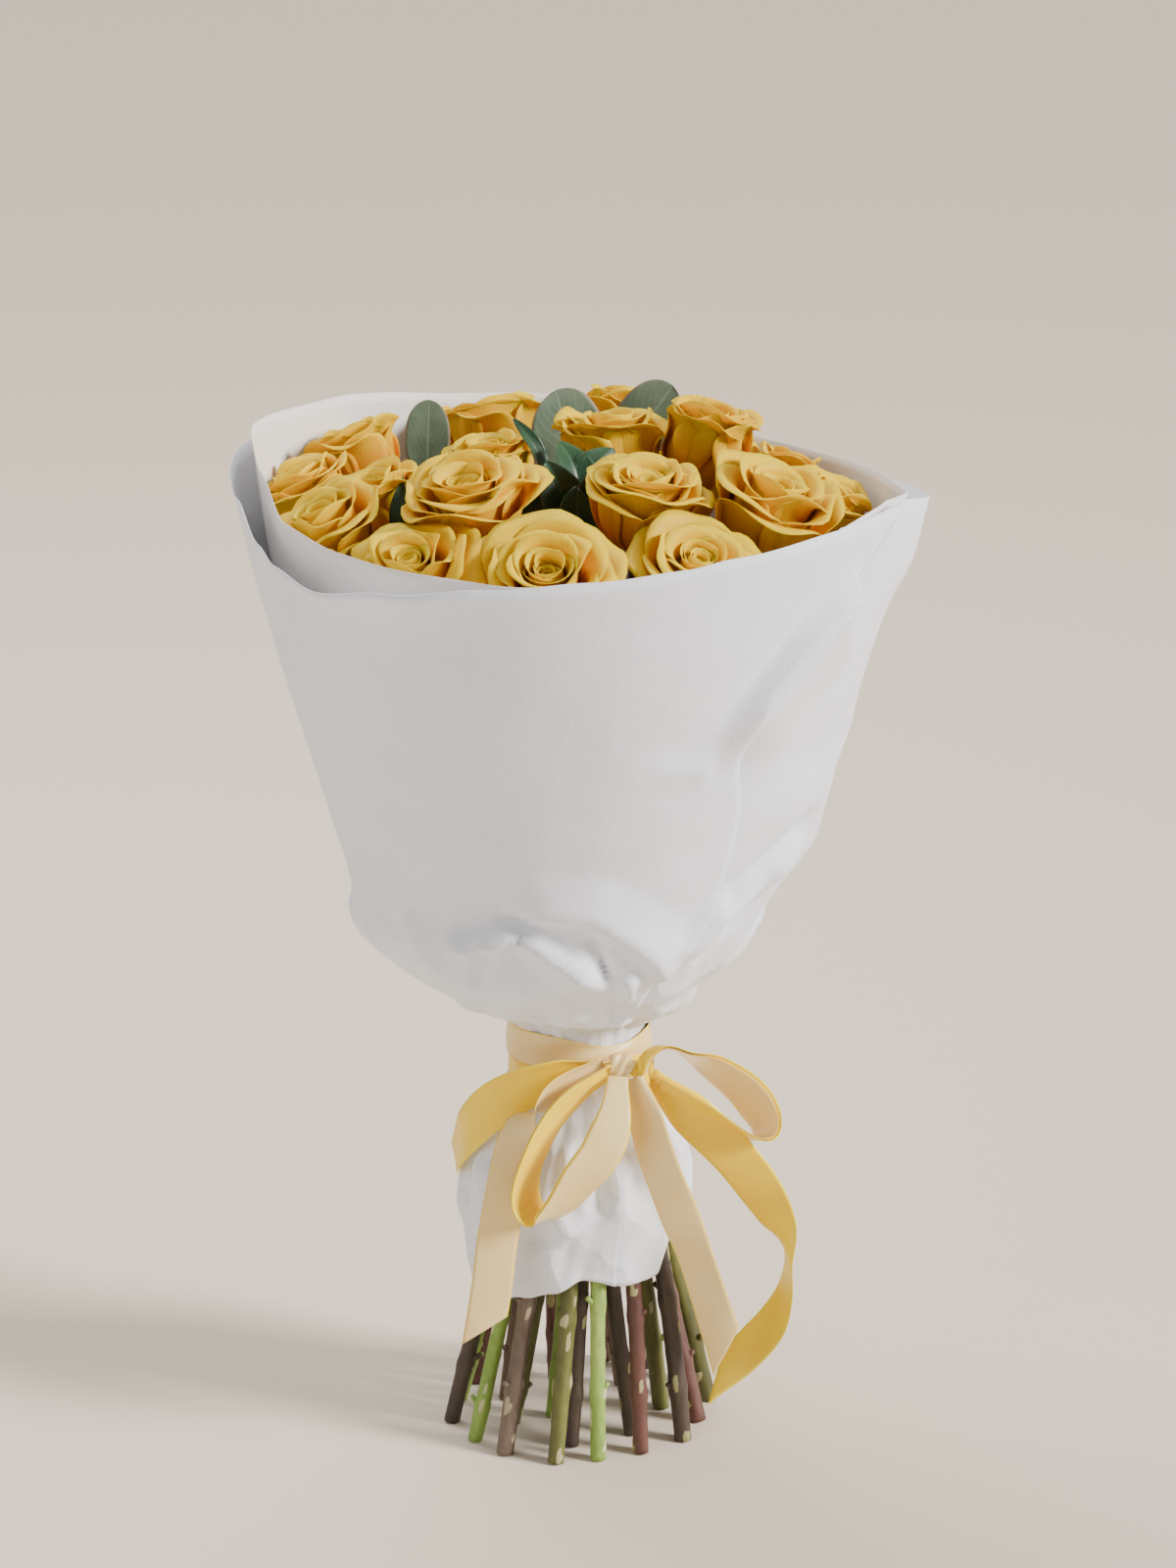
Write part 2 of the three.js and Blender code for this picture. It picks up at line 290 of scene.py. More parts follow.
def petal_material():
    """Dark golden orange at the claw, partly the rose's own deeper base and partly painted shade deep in
    the bloom; bright yellow on the blade and pale at the rim, with fine veins.
    """
    material, tree, shader = new_material("rose_petal", 0.55, 0.18)
    along = uv_shares(tree)[1]
    # Both ramps darken towards the claw: partly the rose's own deeper orange, partly painted shade where
    # the petal bases sit deep in the bloom.
    blade = ramp(tree, along, [
        (0.0, (0.42, 0.065, 0.0)), (0.38, (0.70, 0.22, 0.0)),
        (0.7, (0.80, 0.42, 0.0)), (0.94, (0.84, 0.54, 0.0)), (1.0, (0.68, 0.50, 0.005)),
    ])
    peach = ramp(tree, along, [
        (0.0, (0.60, 0.17, 0.005)), (0.5, (0.78, 0.30, 0.015)), (1.0, (0.82, 0.46, 0.015)),
    ])
    warm = maths(tree, "SUBTRACT", 1.0, attribute(tree, "tone"))
    patches = object_noise(tree, 55, 2)
    warm = maths(tree, "MULTIPLY", warm, patches)
    colour = mixed(tree, warm, blade, peach)
    veins = tree.nodes.new("ShaderNodeTexWave")
    veins.wave_type = "BANDS"
    veins.inputs["Scale"].default_value = 9
    veins.inputs["Distortion"].default_value = 3
    veins.inputs["Detail"].default_value = 2
    uv = tree.nodes.new("ShaderNodeUVMap")
    uv.uv_map = "UVMap"
    tree.links.new(uv.outputs["UV"], veins.inputs["Vector"])
    shade = ramp(tree, veins.outputs["Fac"], [(0.0, (0.93, 0.90, 0.86)), (0.6, (1, 1, 1))])
    colour = mixed(tree, 0.7, colour, shade, "MULTIPLY")
    tree.links.new(colour, shader.inputs["Base Color"])
    bump(tree, shader, veins.outputs["Fac"], 0.12, 0.0004)
    shader.inputs["Subsurface Weight"].default_value = 0.3
    shader.inputs["Subsurface Radius"].default_value = (1.0, 0.42, 0.08)
    shader.inputs["Subsurface Scale"].default_value = 0.004
    return material


def leaf_material(name, dark, light, rim, roughness):
    """A leaf's blade with a pale midrib, side veins and a coloured rim."""
    material, tree, shader = new_material(name, roughness, 0.4)
    across, along = uv_shares(tree)
    blade = ramp(tree, object_noise(tree, 70, 4), [(0.3, dark), (0.7, light)])
    off_middle = maths(tree, "ABSOLUTE", maths(tree, "SUBTRACT", across, 0.5), 0)
    midrib = ramp(tree, off_middle, [(0.0, (1, 1, 1)), (0.035, (0, 0, 0))])
    slant = maths(tree, "ADD", maths(tree, "MULTIPLY", along, 60.0),
                  maths(tree, "MULTIPLY", off_middle, -55.0))
    side = maths(tree, "SINE", slant, 0)
    side_veins = ramp(tree, side, [(0.90, (0, 0, 0)), (1.0, (0.5, 0.5, 0.5))])
    lines = mixed(tree, 1.0, midrib, side_veins, "LIGHTEN")
    vein_colour = tuple(min(1, c * 1.5 + 0.02) for c in light)
    colour = mixed(tree, maths(tree, "MULTIPLY", lines, 0.6), blade, vein_colour)
    edge = ramp(tree, off_middle, [(0.455, (0, 0, 0)), (0.5, (1, 1, 1))])
    colour = mixed(tree, maths(tree, "MULTIPLY", edge, 0.7), colour, rim)
    tree.links.new(colour, shader.inputs["Base Color"])
    bump(tree, shader, lines, 0.25, 0.0005)
    shader.inputs["Subsurface Weight"].default_value = 0.08
    shader.inputs["Subsurface Scale"].default_value = 0.002
    return material


def stem_material(name, bark, flush, scar):
    """Smooth young bark, flushed in patches, with pale scars where thorns were."""
    material, tree, shader = new_material(name, 0.5, 0.45)
    long_noise = object_noise(tree, 60, 4, (1, 1, 0.18))
    colour = ramp(tree, long_noise, [(0.32, bark), (0.68, flush)])
    fine = object_noise(tree, 420, 3, (1, 1, 0.35))
    shade = ramp(tree, fine, [(0.3, (0.72, 0.72, 0.72)), (0.6, (1, 1, 1))])
    colour = mixed(tree, 0.8, colour, shade, "MULTIPLY")
    ragged = maths(tree, "ADD", attribute(tree, "scar"), maths(tree, "MULTIPLY", fine, 0.4))
    scars = ramp(tree, ragged, [(0.55, (0, 0, 0)), (0.68, (1, 1, 1))])
    colour = mixed(tree, scars, colour, scar)
    tree.links.new(colour, shader.inputs["Base Color"])
    bump(tree, shader, fine, 0.35, 0.0004)
    return material


def paper_material(name, colour, shade):
    """Thin white kraft paper: cloudy at large, with fine fibres, and facets where it is crumpled."""
    material, tree, shader = new_material(name, 0.62, 0.3)
    clouds = object_noise(tree, 14, 5)
    base = ramp(tree, clouds, [(0.3, shade), (0.7, colour)])
    fibres = object_noise(tree, 700, 3)
    fleck = ramp(tree, fibres, [(0.35, (0.93, 0.93, 0.93)), (0.62, (1, 1, 1))])
    base = mixed(tree, 0.8, base, fleck, "MULTIPLY")
    tree.links.new(base, shader.inputs["Base Color"])
    facets = tree.nodes.new("ShaderNodeTexVoronoi")
    place = tree.nodes.new("ShaderNodeTexCoord")
    tree.links.new(place.outputs["Object"], facets.inputs["Vector"])
    facets.inputs["Scale"].default_value = 42
    folds = maths(tree, "MULTIPLY", facets.outputs["Distance"], attribute(tree, "crumpled"))
    grain = maths(tree, "MULTIPLY", object_noise(tree, 320, 6), 0.035)
    bump(tree, shader, maths(tree, "ADD", folds, grain), 0.75, 0.006)
    shader.inputs["Subsurface Weight"].default_value = 0.08
    shader.inputs["Subsurface Radius"].default_value = (1, 1, 1)
    shader.inputs["Subsurface Scale"].default_value = 0.002
    return material


def satin_material(name, colour, deep, edge):
    """Woven satin: fine ribs across, a soft gloss along, and a woven edge."""
    material, tree, shader = new_material(name, 0.34, 0.5)
    across, along = uv_shares(tree)
    base = ramp(tree, object_noise(tree, 30, 2), [(0.35, deep), (0.65, colour)])
    off_middle = maths(tree, "ABSOLUTE", maths(tree, "SUBTRACT", across, 0.5), 0)
    rim = ramp(tree, off_middle, [(0.462, (0, 0, 0)), (0.475, (1, 1, 1))])
    base = mixed(tree, rim, base, edge)
    tree.links.new(base, shader.inputs["Base Color"])
    ribs = maths(tree, "SINE", maths(tree, "MULTIPLY", along, 900.0), 0)
    bump(tree, shader, ribs, 0.08, 0.0002)
    shader.inputs["Anisotropic"].default_value = 0.5
    return material


def twine_material():
    """Rough brown fibre."""
    material, tree, shader = new_material("twine", 0.9, 0.2)
    colour = ramp(tree, object_noise(tree, 500, 3), [(0.3, (0.28, 0.18, 0.08)), (0.7, (0.55, 0.4, 0.2))])
    tree.links.new(colour, shader.inputs["Base Color"])
    return material


PETAL = petal_material()
EUCALYPTUS_LEAF = leaf_material(
    "eucalyptus_leaf", (0.085, 0.135, 0.085), (0.155, 0.215, 0.145), (0.30, 0.16, 0.09), 0.55)
FOLIAGE_LEAF = leaf_material(
    "foliage_leaf", (0.012, 0.045, 0.022), (0.03, 0.085, 0.035), (0.06, 0.13, 0.05), 0.38)
SEPAL = leaf_material("sepal", (0.10, 0.2, 0.05), (0.2, 0.32, 0.08), (0.3, 0.2, 0.1), 0.5)
# Both sheets are one white paper: the outer sheet's cool blue tint is painted cool shade, and the inner
# sheet's warm tint is painted warm light.
PAPER_OUT_PAINTED_COOL_SHADE = paper_material("white_paper", (0.90, 0.93, 1.0), (0.83, 0.86, 0.94))
PAPER_IN_PAINTED_WARM_LIGHT = paper_material("white_paper_inner", (0.88, 0.84, 0.80), (0.82, 0.77, 0.73))
CREAM = satin_material("cream_satin", (0.90, 0.69, 0.31), (0.86, 0.62, 0.24), (0.95, 0.64, 0.08))
YELLOW = satin_material("yellow_satin", (1.0, 0.69, 0.0), (0.97, 0.60, 0.0), (1.0, 0.80, 0.0))
TWINE = twine_material()


# ---- The bunch's plan ----
# The stems pass the tie in two rings round one core stem. Radii are in mm, azimuths in degrees.
OUTER_RING = {"radius": 25.2, "count": 16, "start": -38, "foot_radius": 68, "foot_turn": -18}
INNER_RING = {"radius": 13, "count": 7, "start": -33, "foot_radius": 42, "foot_turn": -16}
CORE = {"radius": 0, "count": 1, "start": 0, "foot_radius": 14, "foot_turn": 200}
TIE_HALF_HEIGHT = 12  # the stems run side by side over this much, up and down
STEM_RADIUS = 4


def on_ring(radius, azimuth, height):
    """A place on a circle round the tie's axis."""
    angle = math.radians(azimuth)
    return at_tie(radius * math.cos(angle), radius * math.sin(angle), height)


# ---- The wrap's plan ----
# Each sheet's outside from the hem to the rim, as (radius, height) in mm.
OUTER_PROFILE = [
    (58.5, 97), (62, 125), (61, 148), (52, 180), (41, 198), (36.9, 206), (36.9, 222), (36.9, 236),
    (48, 241), (60, 247), (76, 262), (106, 283), (120, 305), (127, 342), (141, 392), (154, 440),
    (167, 485), (178.5, 531),
]
OUTER_FRONT_PROFILE = [
    (57, 97), (60, 125), (61, 148), (52, 180), (41, 198), (36.9, 206), (36.9, 222), (37.4, 237),
    (43, 247), (50, 258), (57, 259), (63, 254), (75, 261), (105, 284), (120, 305), (127, 342),
    (141, 392), (154, 440), (167, 485), (178.5, 531),
]
INNER_PROFILE = [
    (52, 118), (52, 140), (43, 178), (37, 196), (35.2, 206), (35.2, 222), (35.2, 237),
    (45, 243), (57, 250), (73, 266), (102, 287.5), (115.5, 308), (122, 343), (135, 392),
    (148, 440), (161.5, 486), (172, 538),
]
TIE_LEVEL = 221
RIM_LEVEL = 531
INNER_RIM_LEVEL = 538
MOUTH_START = 400  # above this, the mouth's outline shapes the sheets
# How far the bowl of the wrap is drawn in under its widest part, in mm.
BOWL_PULL = [(-180, -2), (-150, -1), (-120, 0), (-90, 0), (-60, -8), (-30, -20), (0, -24), (30, -20),
             (70, -8), (120, -4), (160, -3)]
WALL_GIVE = 9  # petals this close to the paper, in mm, are pressed in
OUTER_RIM = [
    (-164, 543), (-154, 527), (-148, 520), (-137, 514), (-122, 521), (-103, 529), (-87, 534),
    (-71, 538), (-63, 541), (-42, 545), (-20, 545), (-4, 538), (21, 530), (53, 526), (105, 540),
    (120, 545), (147, 551), (175, 551),
]
INNER_RIM = [
    (-165, 556), (-153, 537), (-136, 532), (-119, 530), (-104, 529), (-80, 533), (-60, 537),
    (-30, 545), (0, 540), (30, 535), (60, 537), (105, 550), (140, 560), (175, 566),
]
HEM_LEVEL = 97
HEM = [(-150, 80), (-120, 91), (-104, 96), (-88, 104), (-62, 98), (-42, 100), (-29, 116), (0, 102),
       (60, 95), (120, 84), (175, 77)]
# How far the mouth is pulled in (-) or out (+) at its rim, in mm.
OUTER_PULL = [(-170, 0), (-40, 0), (-5, 3), (20, -7), (48, -17), (75, -8), (110, 0), (170, 0)]
INNER_PULL = [(-170, -6), (-140, -9), (-112, -7), (-92, 3), (-50, 4), (-8, -2), (20, -8), (48, -16),
              (75, -6), (110, 0), (170, -2)]


WALL_CLEARANCE = 3.5  # between a petal and the middle of the paper, in mm


def within_wrap(place):
    """Moves a place in from the inner sheet's wall, so that petals press against the paper."""
    height = place.z / MM
    if height < MOUTH_START:
        return place
    flare = (height - TIE_LEVEL) / (RIM_LEVEL - TIE_LEVEL)
    depth = 1 - 0.06 * flare
    x = (place.x - TIE.x) / MM + 4 * flare
    y = ((place.y - TIE.y) / MM + 9 * flare) / depth
    radius, azimuth = math.hypot(x, y), math.degrees(math.atan2(y, x))
    (low_radius, low), (high_radius, high) = INNER_PROFILE[-3], INNER_PROFILE[-1]
    wall = low_radius + (height - low) * (high_radius - low_radius) / (high - low)
    wall += round_value(INNER_PULL, azimuth) * flare ** 2 - WALL_CLEARANCE
    over = radius - (wall - WALL_GIVE)
    if over <= 0:
        return place
    share = (wall - WALL_GIVE + WALL_GIVE * (1 - math.exp(-over / WALL_GIVE))) / radius
    return at_tie(x * share - 4 * flare, y * share * depth - 9 * flare, height)


# ---- Roses ----
def rose(ring, slot, radius, openness, seed, petals=28, ruffle=1.3, warmth=0.0, lean=(0, 0), rise=0):
    """A bloom's settings. Lean tips it by degrees about X and Y, and rise lifts it in mm."""
    return {"ring": ring, "slot": slot, "radius": radius, "open": openness, "seed": seed,
            "petals": petals, "ruffle": ruffle, "warmth": warmth, "lean": lean, "rise": rise}


ROSES = [
    rose(OUTER_RING, 7, 26, 0.50, 11, 26, warmth=0.1),
    rose(OUTER_RING, 8, 27, 0.60, 12, 26, warmth=0.2),
    rose(OUTER_RING, 9, 25, 0.65, 13, 26),
    rose(OUTER_RING, 11, 33, 1.00, 14, 24, ruffle=1.6),
    rose(INNER_RING, 5, 36, 0.80, 15, 25, ruffle=1.5, warmth=0.3, lean=(-6, 0)),
    rose(INNER_RING, 3, 23, 0.30, 16, 22),
    rose(OUTER_RING, 5, 28, 0.55, 17, 26, warmth=0.15),
    rose(OUTER_RING, 12, 33, 0.85, 18, 22, ruffle=1.6, rise=3),
    rose(OUTER_RING, 13, 38, 0.80, 19, 24, ruffle=1.4, lean=(6, 0), rise=-6),
    rose(INNER_RING, 1, 29, 0.45, 20, 20, ruffle=1.8, lean=(-6, -4), rise=3),
    rose(INNER_RING, 6, 31, 0.60, 21, 30, ruffle=1.3, warmth=0.1, lean=(-6, 0)),
    rose(INNER_RING, 0, 24, 0.12, 22, 24, ruffle=1.6, warmth=0.45, rise=13),
    rose(OUTER_RING, 15, 34, 0.65, 23, 22, ruffle=1.5),
    rose(OUTER_RING, 0, 28, 0.80, 24, 26, ruffle=1.4, warmth=0.2),
    rose(OUTER_RING, 1, 24, 0.55, 25, 24, warmth=0.4),
    rose(OUTER_RING, 14, 33, 0.75, 26, 22, ruffle=1.6, rise=2),
    rose(OUTER_RING, 4, 27, 0.60, 27, 24, warmth=0.2),
    rose(OUTER_RING, 3, 27, 0.70, 28, 24),
    rose(OUTER_RING, 2, 26, 0.60, 29, 24),
]

HIP_LENGTH = 11  # from the top of the stem to where the petals start


def petal_width(along):
    """Half of a petal's width from its claw to its tip, as a share of the most."""
    return 0.30 + 0.70 * math.sin(math.pi * 0.62 * min(along, 1.0) ** 0.85) ** 0.9


def petal_settings(share, bloom, rng):
    """A petal's size and bend, from the innermost (share 0) to the outermost (share 1)."""
    scale, openness = bloom["radius"] / 30, bloom["open"]
    return {
        "length": mix(27, 40 + 4 * openness, smooth(0, 0.7, share)) * scale * rng.uniform(0.95, 1.05),
        "width": mix(11, 23 + 4 * openness, smooth(0, 0.85, share)) * scale * rng.uniform(0.92, 1.08),
        "base": 2.0 + 2.5 * share,
        "rise": math.radians(mix(14, 42 + 26 * openness * share, share ** 0.9)),
        "close": math.radians(mix(-9, -6 + 34 * openness * share ** 1.35, share ** 0.9)),
        "lip": math.radians(
            mix(0, 95 + 55 * openness, smooth(0.12, 0.8, share)) * rng.uniform(0.8, 1.2)),
        "lip_start": mix(0.86, 0.58, smooth(0.1, 0.9, share)),
        "flat": mix(1.0, 1.45, smooth(0.35, 1.0, share)),
        "tuck": mix(1.0, 2.6, share),
        "corner": mix(0.10, 0.24, share) * rng.uniform(0.8, 1.2),
        "ruffle": mix(0.3, 1.7, share) * bloom["ruffle"] * rng.uniform(0.7, 1.3),
        "waves": rng.uniform(1.4, 2.6),
        "phase": rng.uniform(0, FULL_TURN),
        "skew": rng.uniform(0.08, 0.22),
    }


MERIDIAN_STEPS = 32


def petal_place(across, along, petal, turn, seed):
    """Where a point of a petal lies, in mm, with the bloom's axis up.
    The petal's middle line bends by steps, from its rise, through its cup, to its rolled lip."""
    u = across * 2 - 1
    reach = along * (1 - petal["corner"] * abs(u) ** 2.6 * along)
    curl = 0.45 + 0.55 * abs(u + petal["skew"]) ** 1.4 + 0.25 * math.sin(2.1 * u + petal["phase"])
    radius, height, lean = petal["base"], 0.0, petal["rise"]
    steps = max(int(MERIDIAN_STEPS * reach), 1)
    for k in range(steps):
        share = (k + 0.5) / steps * reach
        lean = mix(petal["rise"], petal["close"], smooth(0.0, 0.5, share))
        lean += petal["lip"] * curl * smooth(petal["lip_start"], 1.05, share) ** 1.3
        radius += math.sin(lean) * reach / steps * petal["length"]
        height += math.cos(lean) * reach / steps * petal["length"]
    cup = max(radius, 2.2) * petal["flat"]
    swing = max(min(u * petal["width"] * petal_width(along) / cup, 2.9), -2.9)
    wave = petal["ruffle"] * (0.6 * u * u + 0.4) * along ** 4
    wave *= math.sin(petal["waves"] * math.pi * u + petal["phase"])
    out = radius + petal["tuck"] * u * (0.15 + 0.35 * along) + wave * math.cos(lean)
    out -= cup * (1 - math.cos(swing))
    side = cup * math.sin(swing)
    place = Vector((
        out * math.cos(turn) - side * math.sin(turn),
        out * math.sin(turn) + side * math.cos(turn),
        height - wave * math.sin(lean),
    ))
    crinkle = noise.noise(place * 0.11 + seed) * 0.9 + noise.noise(place * 0.3 + seed) * 0.25
    return place + Vector((math.cos(turn), math.sin(turn), 0.3)) * crinkle * along


def bloom_axis(number):
    """The direction that a bloom faces: straight out from the tie."""
    face = box_middle(f"rose_bloom_{number}") - Vector((TIE.x, TIE.y, TIE.z + 12 * MM))
    return face.normalized()


def bloom_seat(number, bloom):
    """The turn and place that set a bloom, made upright, on its stem."""
    axis = bloom_axis(number)
    stem_top = box_middle(f"rose_bloom_{number}") - axis * 25 * MM
    tip_x, tip_y = (math.radians(angle) for angle in bloom["lean"])
    turn = axis.to_track_quat("Z", "Y").to_matrix().to_4x4()
    tip = Matrix.Rotation(tip_x, 4, "X") @ Matrix.Rotation(tip_y, 4, "Y")
    lift = Vector((0, 0, bloom["rise"] * MM))
    return Matrix.Translation(stem_top + lift) @ tip @ turn


def add_petals(bm, bloom, layers):
    """All of a bloom's petals, upright and in mm, scaled to its radius."""
    rng = random.Random(bloom["seed"])
    first_turn = rng.uniform(0, FULL_TURN)
    verts = []
    for i in range(bloom["petals"]):
        share = i / (bloom["petals"] - 1)
        petal = petal_settings(share, bloom, rng)
        turn = first_turn + i * GOLDEN_TURN + rng.uniform(-0.12, 0.12)
        columns, rows = (11, 10) if share < 0.35 else (15, 14)
        tone = 1.05 - share * 0.75 - bloom["warmth"] + rng.uniform(-0.15, 0.15)
        seed = Vector((rng.uniform(0, 90), rng.uniform(0, 90), 0))

        def place(across, along):
            return petal_place(across, along, petal, turn, seed)

        verts += shaped_grid(bm, columns, rows, place, *layers, tone)
    widest = sorted(vert.co.xy.length for vert in verts)[int(len(verts) * 0.985)]
    across_scale = bloom["radius"] / widest
    up_scale = mix(across_scale, 1.0, 0.45)
    for vert in verts:
        vert.co = Vector((vert.co.x * across_scale, vert.co.y * across_scale, vert.co.z * up_scale))
    return verts


def make_bloom(index, bloom):
    """One rose above its stem: the petals, and the calyx under them."""
    number = f"{index + 1:02d}"
    seat = bloom_seat(number, bloom)
    bm = bmesh.new()
    layers = (bm.loops.layers.uv.new("UVMap"), bm.verts.layers.float.new("tone"))
    verts = add_petals(bm, bloom, layers)
    for vert in verts:
        vert.co = within_wrap(seat @ ((vert.co + Vector((0, 0, HIP_LENGTH))) * MM))
    finished(f"rose_{number}_petals", bm, PETAL, [f"rose_bloom_{number}"], 0.35)
    make_calyx(number, seat, bloom)


def make_calyx(number, seat, bloom):
    """The green hip under the petals, with five narrow sepals."""
    rng = random.Random(bloom["seed"] + 500)
    bm, uv_layer = new_shape()

    def hip(across, along):
        turn = across * FULL_TURN
        radius = 3.4 + 3.2 * math.sin(math.pi * min(along * 0.85 + 0.05, 1))
        return seat @ (Vector((radius * math.cos(turn), radius * math.sin(turn), 0.5 + 12 * along)) * MM)

    shaped_grid(bm, 17, 7, hip, uv_layer)
    bmesh.ops.remove_doubles(bm, verts=bm.verts, dist=0.02 * MM)
    for k in range(5):
        heading = FULL_TURN * k / 5 + rng.uniform(-0.2, 0.2)
        droop = rng.uniform(0.2, 1.0)

        def sepal(across, along):
            half = 3.2 * (1 - along) ** 0.7 * (0.6 + 0.4 * along)
            side = (across - 0.5) * 2 * half
            out = 5.5 + 15 * math.sin(1.3 * along) * droop
            up = 11 + 17 * along * (1 - 0.9 * droop * along)
            flat = Vector((out, side, up + 0.08 * side * side))
            return seat @ (Matrix.Rotation(heading, 3, "Z") @ flat * MM)

        shaped_grid(bm, 5, 9, sepal, uv_layer)
    finished(f"rose_{number}_calyx", bm, SEPAL, [], 0.4)


for index, bloom in enumerate(ROSES):
    make_bloom(index, bloom)


# ---- Stems ----
def stem_line(item, top, steps_low=62, steps_high=52):
    """A stem's middle line from its foot to its top, closely spaced below the tie."""
    azimuth = item["ring"]["start"] + 360 * item["slot"] / item["ring"]["count"]
    unevenness = 3 * math.sin(2.4 * item["slot"])
    foot_azimuth = azimuth + item["ring"]["foot_turn"]
    rng = random.Random(round(azimuth * 10) + 7)
    foot = on_ring(item["ring"]["foot_radius"] + unevenness, foot_azimuth, 0)
    foot += Vector((rng.uniform(-4, 4), rng.uniform(-3, 3), 0)) * MM
    low = on_ring(item["ring"]["radius"], azimuth, TIE_LEVEL - TIE_HALF_HEIGHT)
    high = on_ring(item["ring"]["radius"], azimuth, TIE_LEVEL + TIE_HALF_HEIGHT)
    line = [foot.lerp(low, k / steps_low) for k in range(steps_low)]
    line += [low.lerp(high, k / 6) for k in range(6)]
    line += [high.lerp(top, k / steps_high) for k in range(steps_high + 1)]
    bend = Vector((rng.uniform(-1, 1), rng.uniform(-1, 1), 0)) * 4.5 * MM
    for k in range(steps_low):
        line[k] = line[k] + bend * math.sin(math.pi * k / steps_low)
    for _ in range(8):
        line[1:-1] = [(a + b * 2 + c) / 4 for a, b, c in zip(line, line[1:], line[2:])]
    return line


def along_frames(line, first_side):
    """A side and a front direction at each point of a line, turning as little as they can."""
    frames, side = [], first_side
    for k, place in enumerate(line):
        ahead = (line[min(k + 1, len(line) - 1)] - line[max(k - 1, 0)]).normalized()
        side = (side - ahead * side.dot(ahead)).normalized()
        frames.append((place, side, ahead.cross(side)))
    return frames


def add_tube(bm, line, radius_at, sides, uv_layer, mark_layer=None, mark_at=None):
    """A closed tube along a line. radius_at(turn, step) gives its radius in mm."""
    frames = along_frames(line, Vector((1, 0.2, 0.1)))
    steps = len(line) - 1
    marks = {}

    def place(across, along):
        step = round(along * steps)
        centre, side, front = frames[step]
        turn = across * FULL_TURN
        radius = radius_at(turn, step) * MM
        spot = centre + (side * math.cos(turn) + front * math.sin(turn)) * radius
        if mark_at:
            marks[(round(across, 4), step)] = mark_at(turn, step)
        return spot

    verts = shaped_grid(bm, sides, steps, place, uv_layer)
    if mark_at:
        for vert in verts:
            for loop in vert.link_loops:
                share = loop[uv_layer].uv
                vert[mark_layer] = marks[(round(share.x, 4), round(share.y * steps))]
    weld(bm, verts)
    rims = [edge for edge in bm.edges if edge.is_boundary]
    bmesh.ops.holes_fill(bm, edges=rims, sides=sides + 2)


def stem_scars(rng, count, reach):
    """Where thorns and leaves were pulled off: (turn, height in mm, width, length)."""
    scars = []
    for k in range(count):
        height = reach * (k + rng.uniform(0.1, 0.9)) / count
        scars.append((rng.uniform(0, FULL_TURN), height, rng.uniform(0.9, 2.1), rng.uniform(2.0, 6.5)))
    return scars


def add_shoot_stub(bm, line, reach, height, radius, rng):
    """The short stub of a side shoot, cut off just above a stem's node."""
    step = min(k for k, gone in enumerate(reach) if gone >= height)
    up = (line[step + 1] - line[step - 1]).normalized()
    turn = rng.uniform(0, FULL_TURN)
    out = Vector((math.cos(turn), math.sin(turn), 0))
    lean = (out + up * 0.9).normalized()
    length = rng.uniform(4.5, 8.0)
    seat = line[step] + out * (radius * 0.6) * MM + lean * length * 0.5 * MM
    stand = Matrix.Translation(seat) @ lean.to_track_quat("Z", "Y").to_matrix().to_4x4()
    bmesh.ops.create_cone(
        bm, cap_ends=True, segments=9, radius1=radius * 0.48 * MM, radius2=radius * 0.3 * MM,
        depth=length * MM, matrix=stand, calc_uvs=True)


def make_stem(name, nodes, line, radius, material, seed, scars=14, knots=3):
    """A stem with swollen nodes and the scars of its thorns, cut flat at the foot."""
    rng = random.Random(seed)
    reach = [0.0]
    for a, b in zip(line, line[1:]):
        reach.append(reach[-1] + (b - a).length / MM)
    marks = stem_scars(rng, scars, 205)
    swellings = [rng.uniform(18, 45) + 55 * k for k in range(knots)]
    lumps = Vector((rng.uniform(0, 50), 0, 0))

    def scar_share(turn, step):
        share = 0.0
        for scar_turn, height, width, length in marks:
            swing = (turn - scar_turn + math.pi) % FULL_TURN - math.pi
            gone = (swing * radius / width) ** 2 + ((reach[step] - height) / length) ** 2
            share = max(share, 1 - smooth(0.5, 1.3, gone))
        return share

    def radius_at(turn, step):
        height = reach[step]
        size = radius * (1.04 - 0.16 * smooth(60, 420, height))
        for knot in swellings:
            size *= 1 + 0.16 * math.exp(-((height - knot) / 4.5) ** 2)
        size += 0.28 * noise.noise(Vector((math.cos(turn), math.sin(turn), height * 0.05)) + lumps)
        return size + 0.45 * scar_share(turn, step)

    bm, uv_layer = new_shape()
    scar_layer = bm.verts.layers.float.new("scar")
    add_tube(bm, line, radius_at, 13, uv_layer, scar_layer, scar_share)
    for knot in swellings:
        add_shoot_stub(bm, line, reach, knot, radius, rng)
    for vert in bm.verts:
        vert.co.z = max(vert.co.z, 0.0)
    finished(name, bm, material, nodes)


BROWN_RED = stem_material(
    "brown_red_bark", (0.075, 0.027, 0.024), (0.15, 0.062, 0.045), (0.36, 0.33, 0.13))
DARK_BROWN = stem_material(
    "dark_brown_bark", (0.032, 0.018, 0.018), (0.072, 0.05, 0.03), (0.28, 0.27, 0.11))
GREY_BROWN = stem_material(
    "grey_brown_bark", (0.09, 0.062, 0.045), (0.20, 0.145, 0.105), (0.38, 0.32, 0.2))
OLIVE = stem_material("olive_bark", (0.075, 0.075, 0.018), (0.17, 0.175, 0.04), (0.42, 0.38, 0.2))
FRESH_GREEN = stem_material("fresh_green_bark", (0.20, 0.34, 0.05), (0.36, 0.52, 0.11), (0.5, 0.5, 0.26))
WOODY = stem_material("eucalyptus_bark", (0.10, 0.055, 0.04), (0.22, 0.13, 0.09), (0.4, 0.33, 0.2))

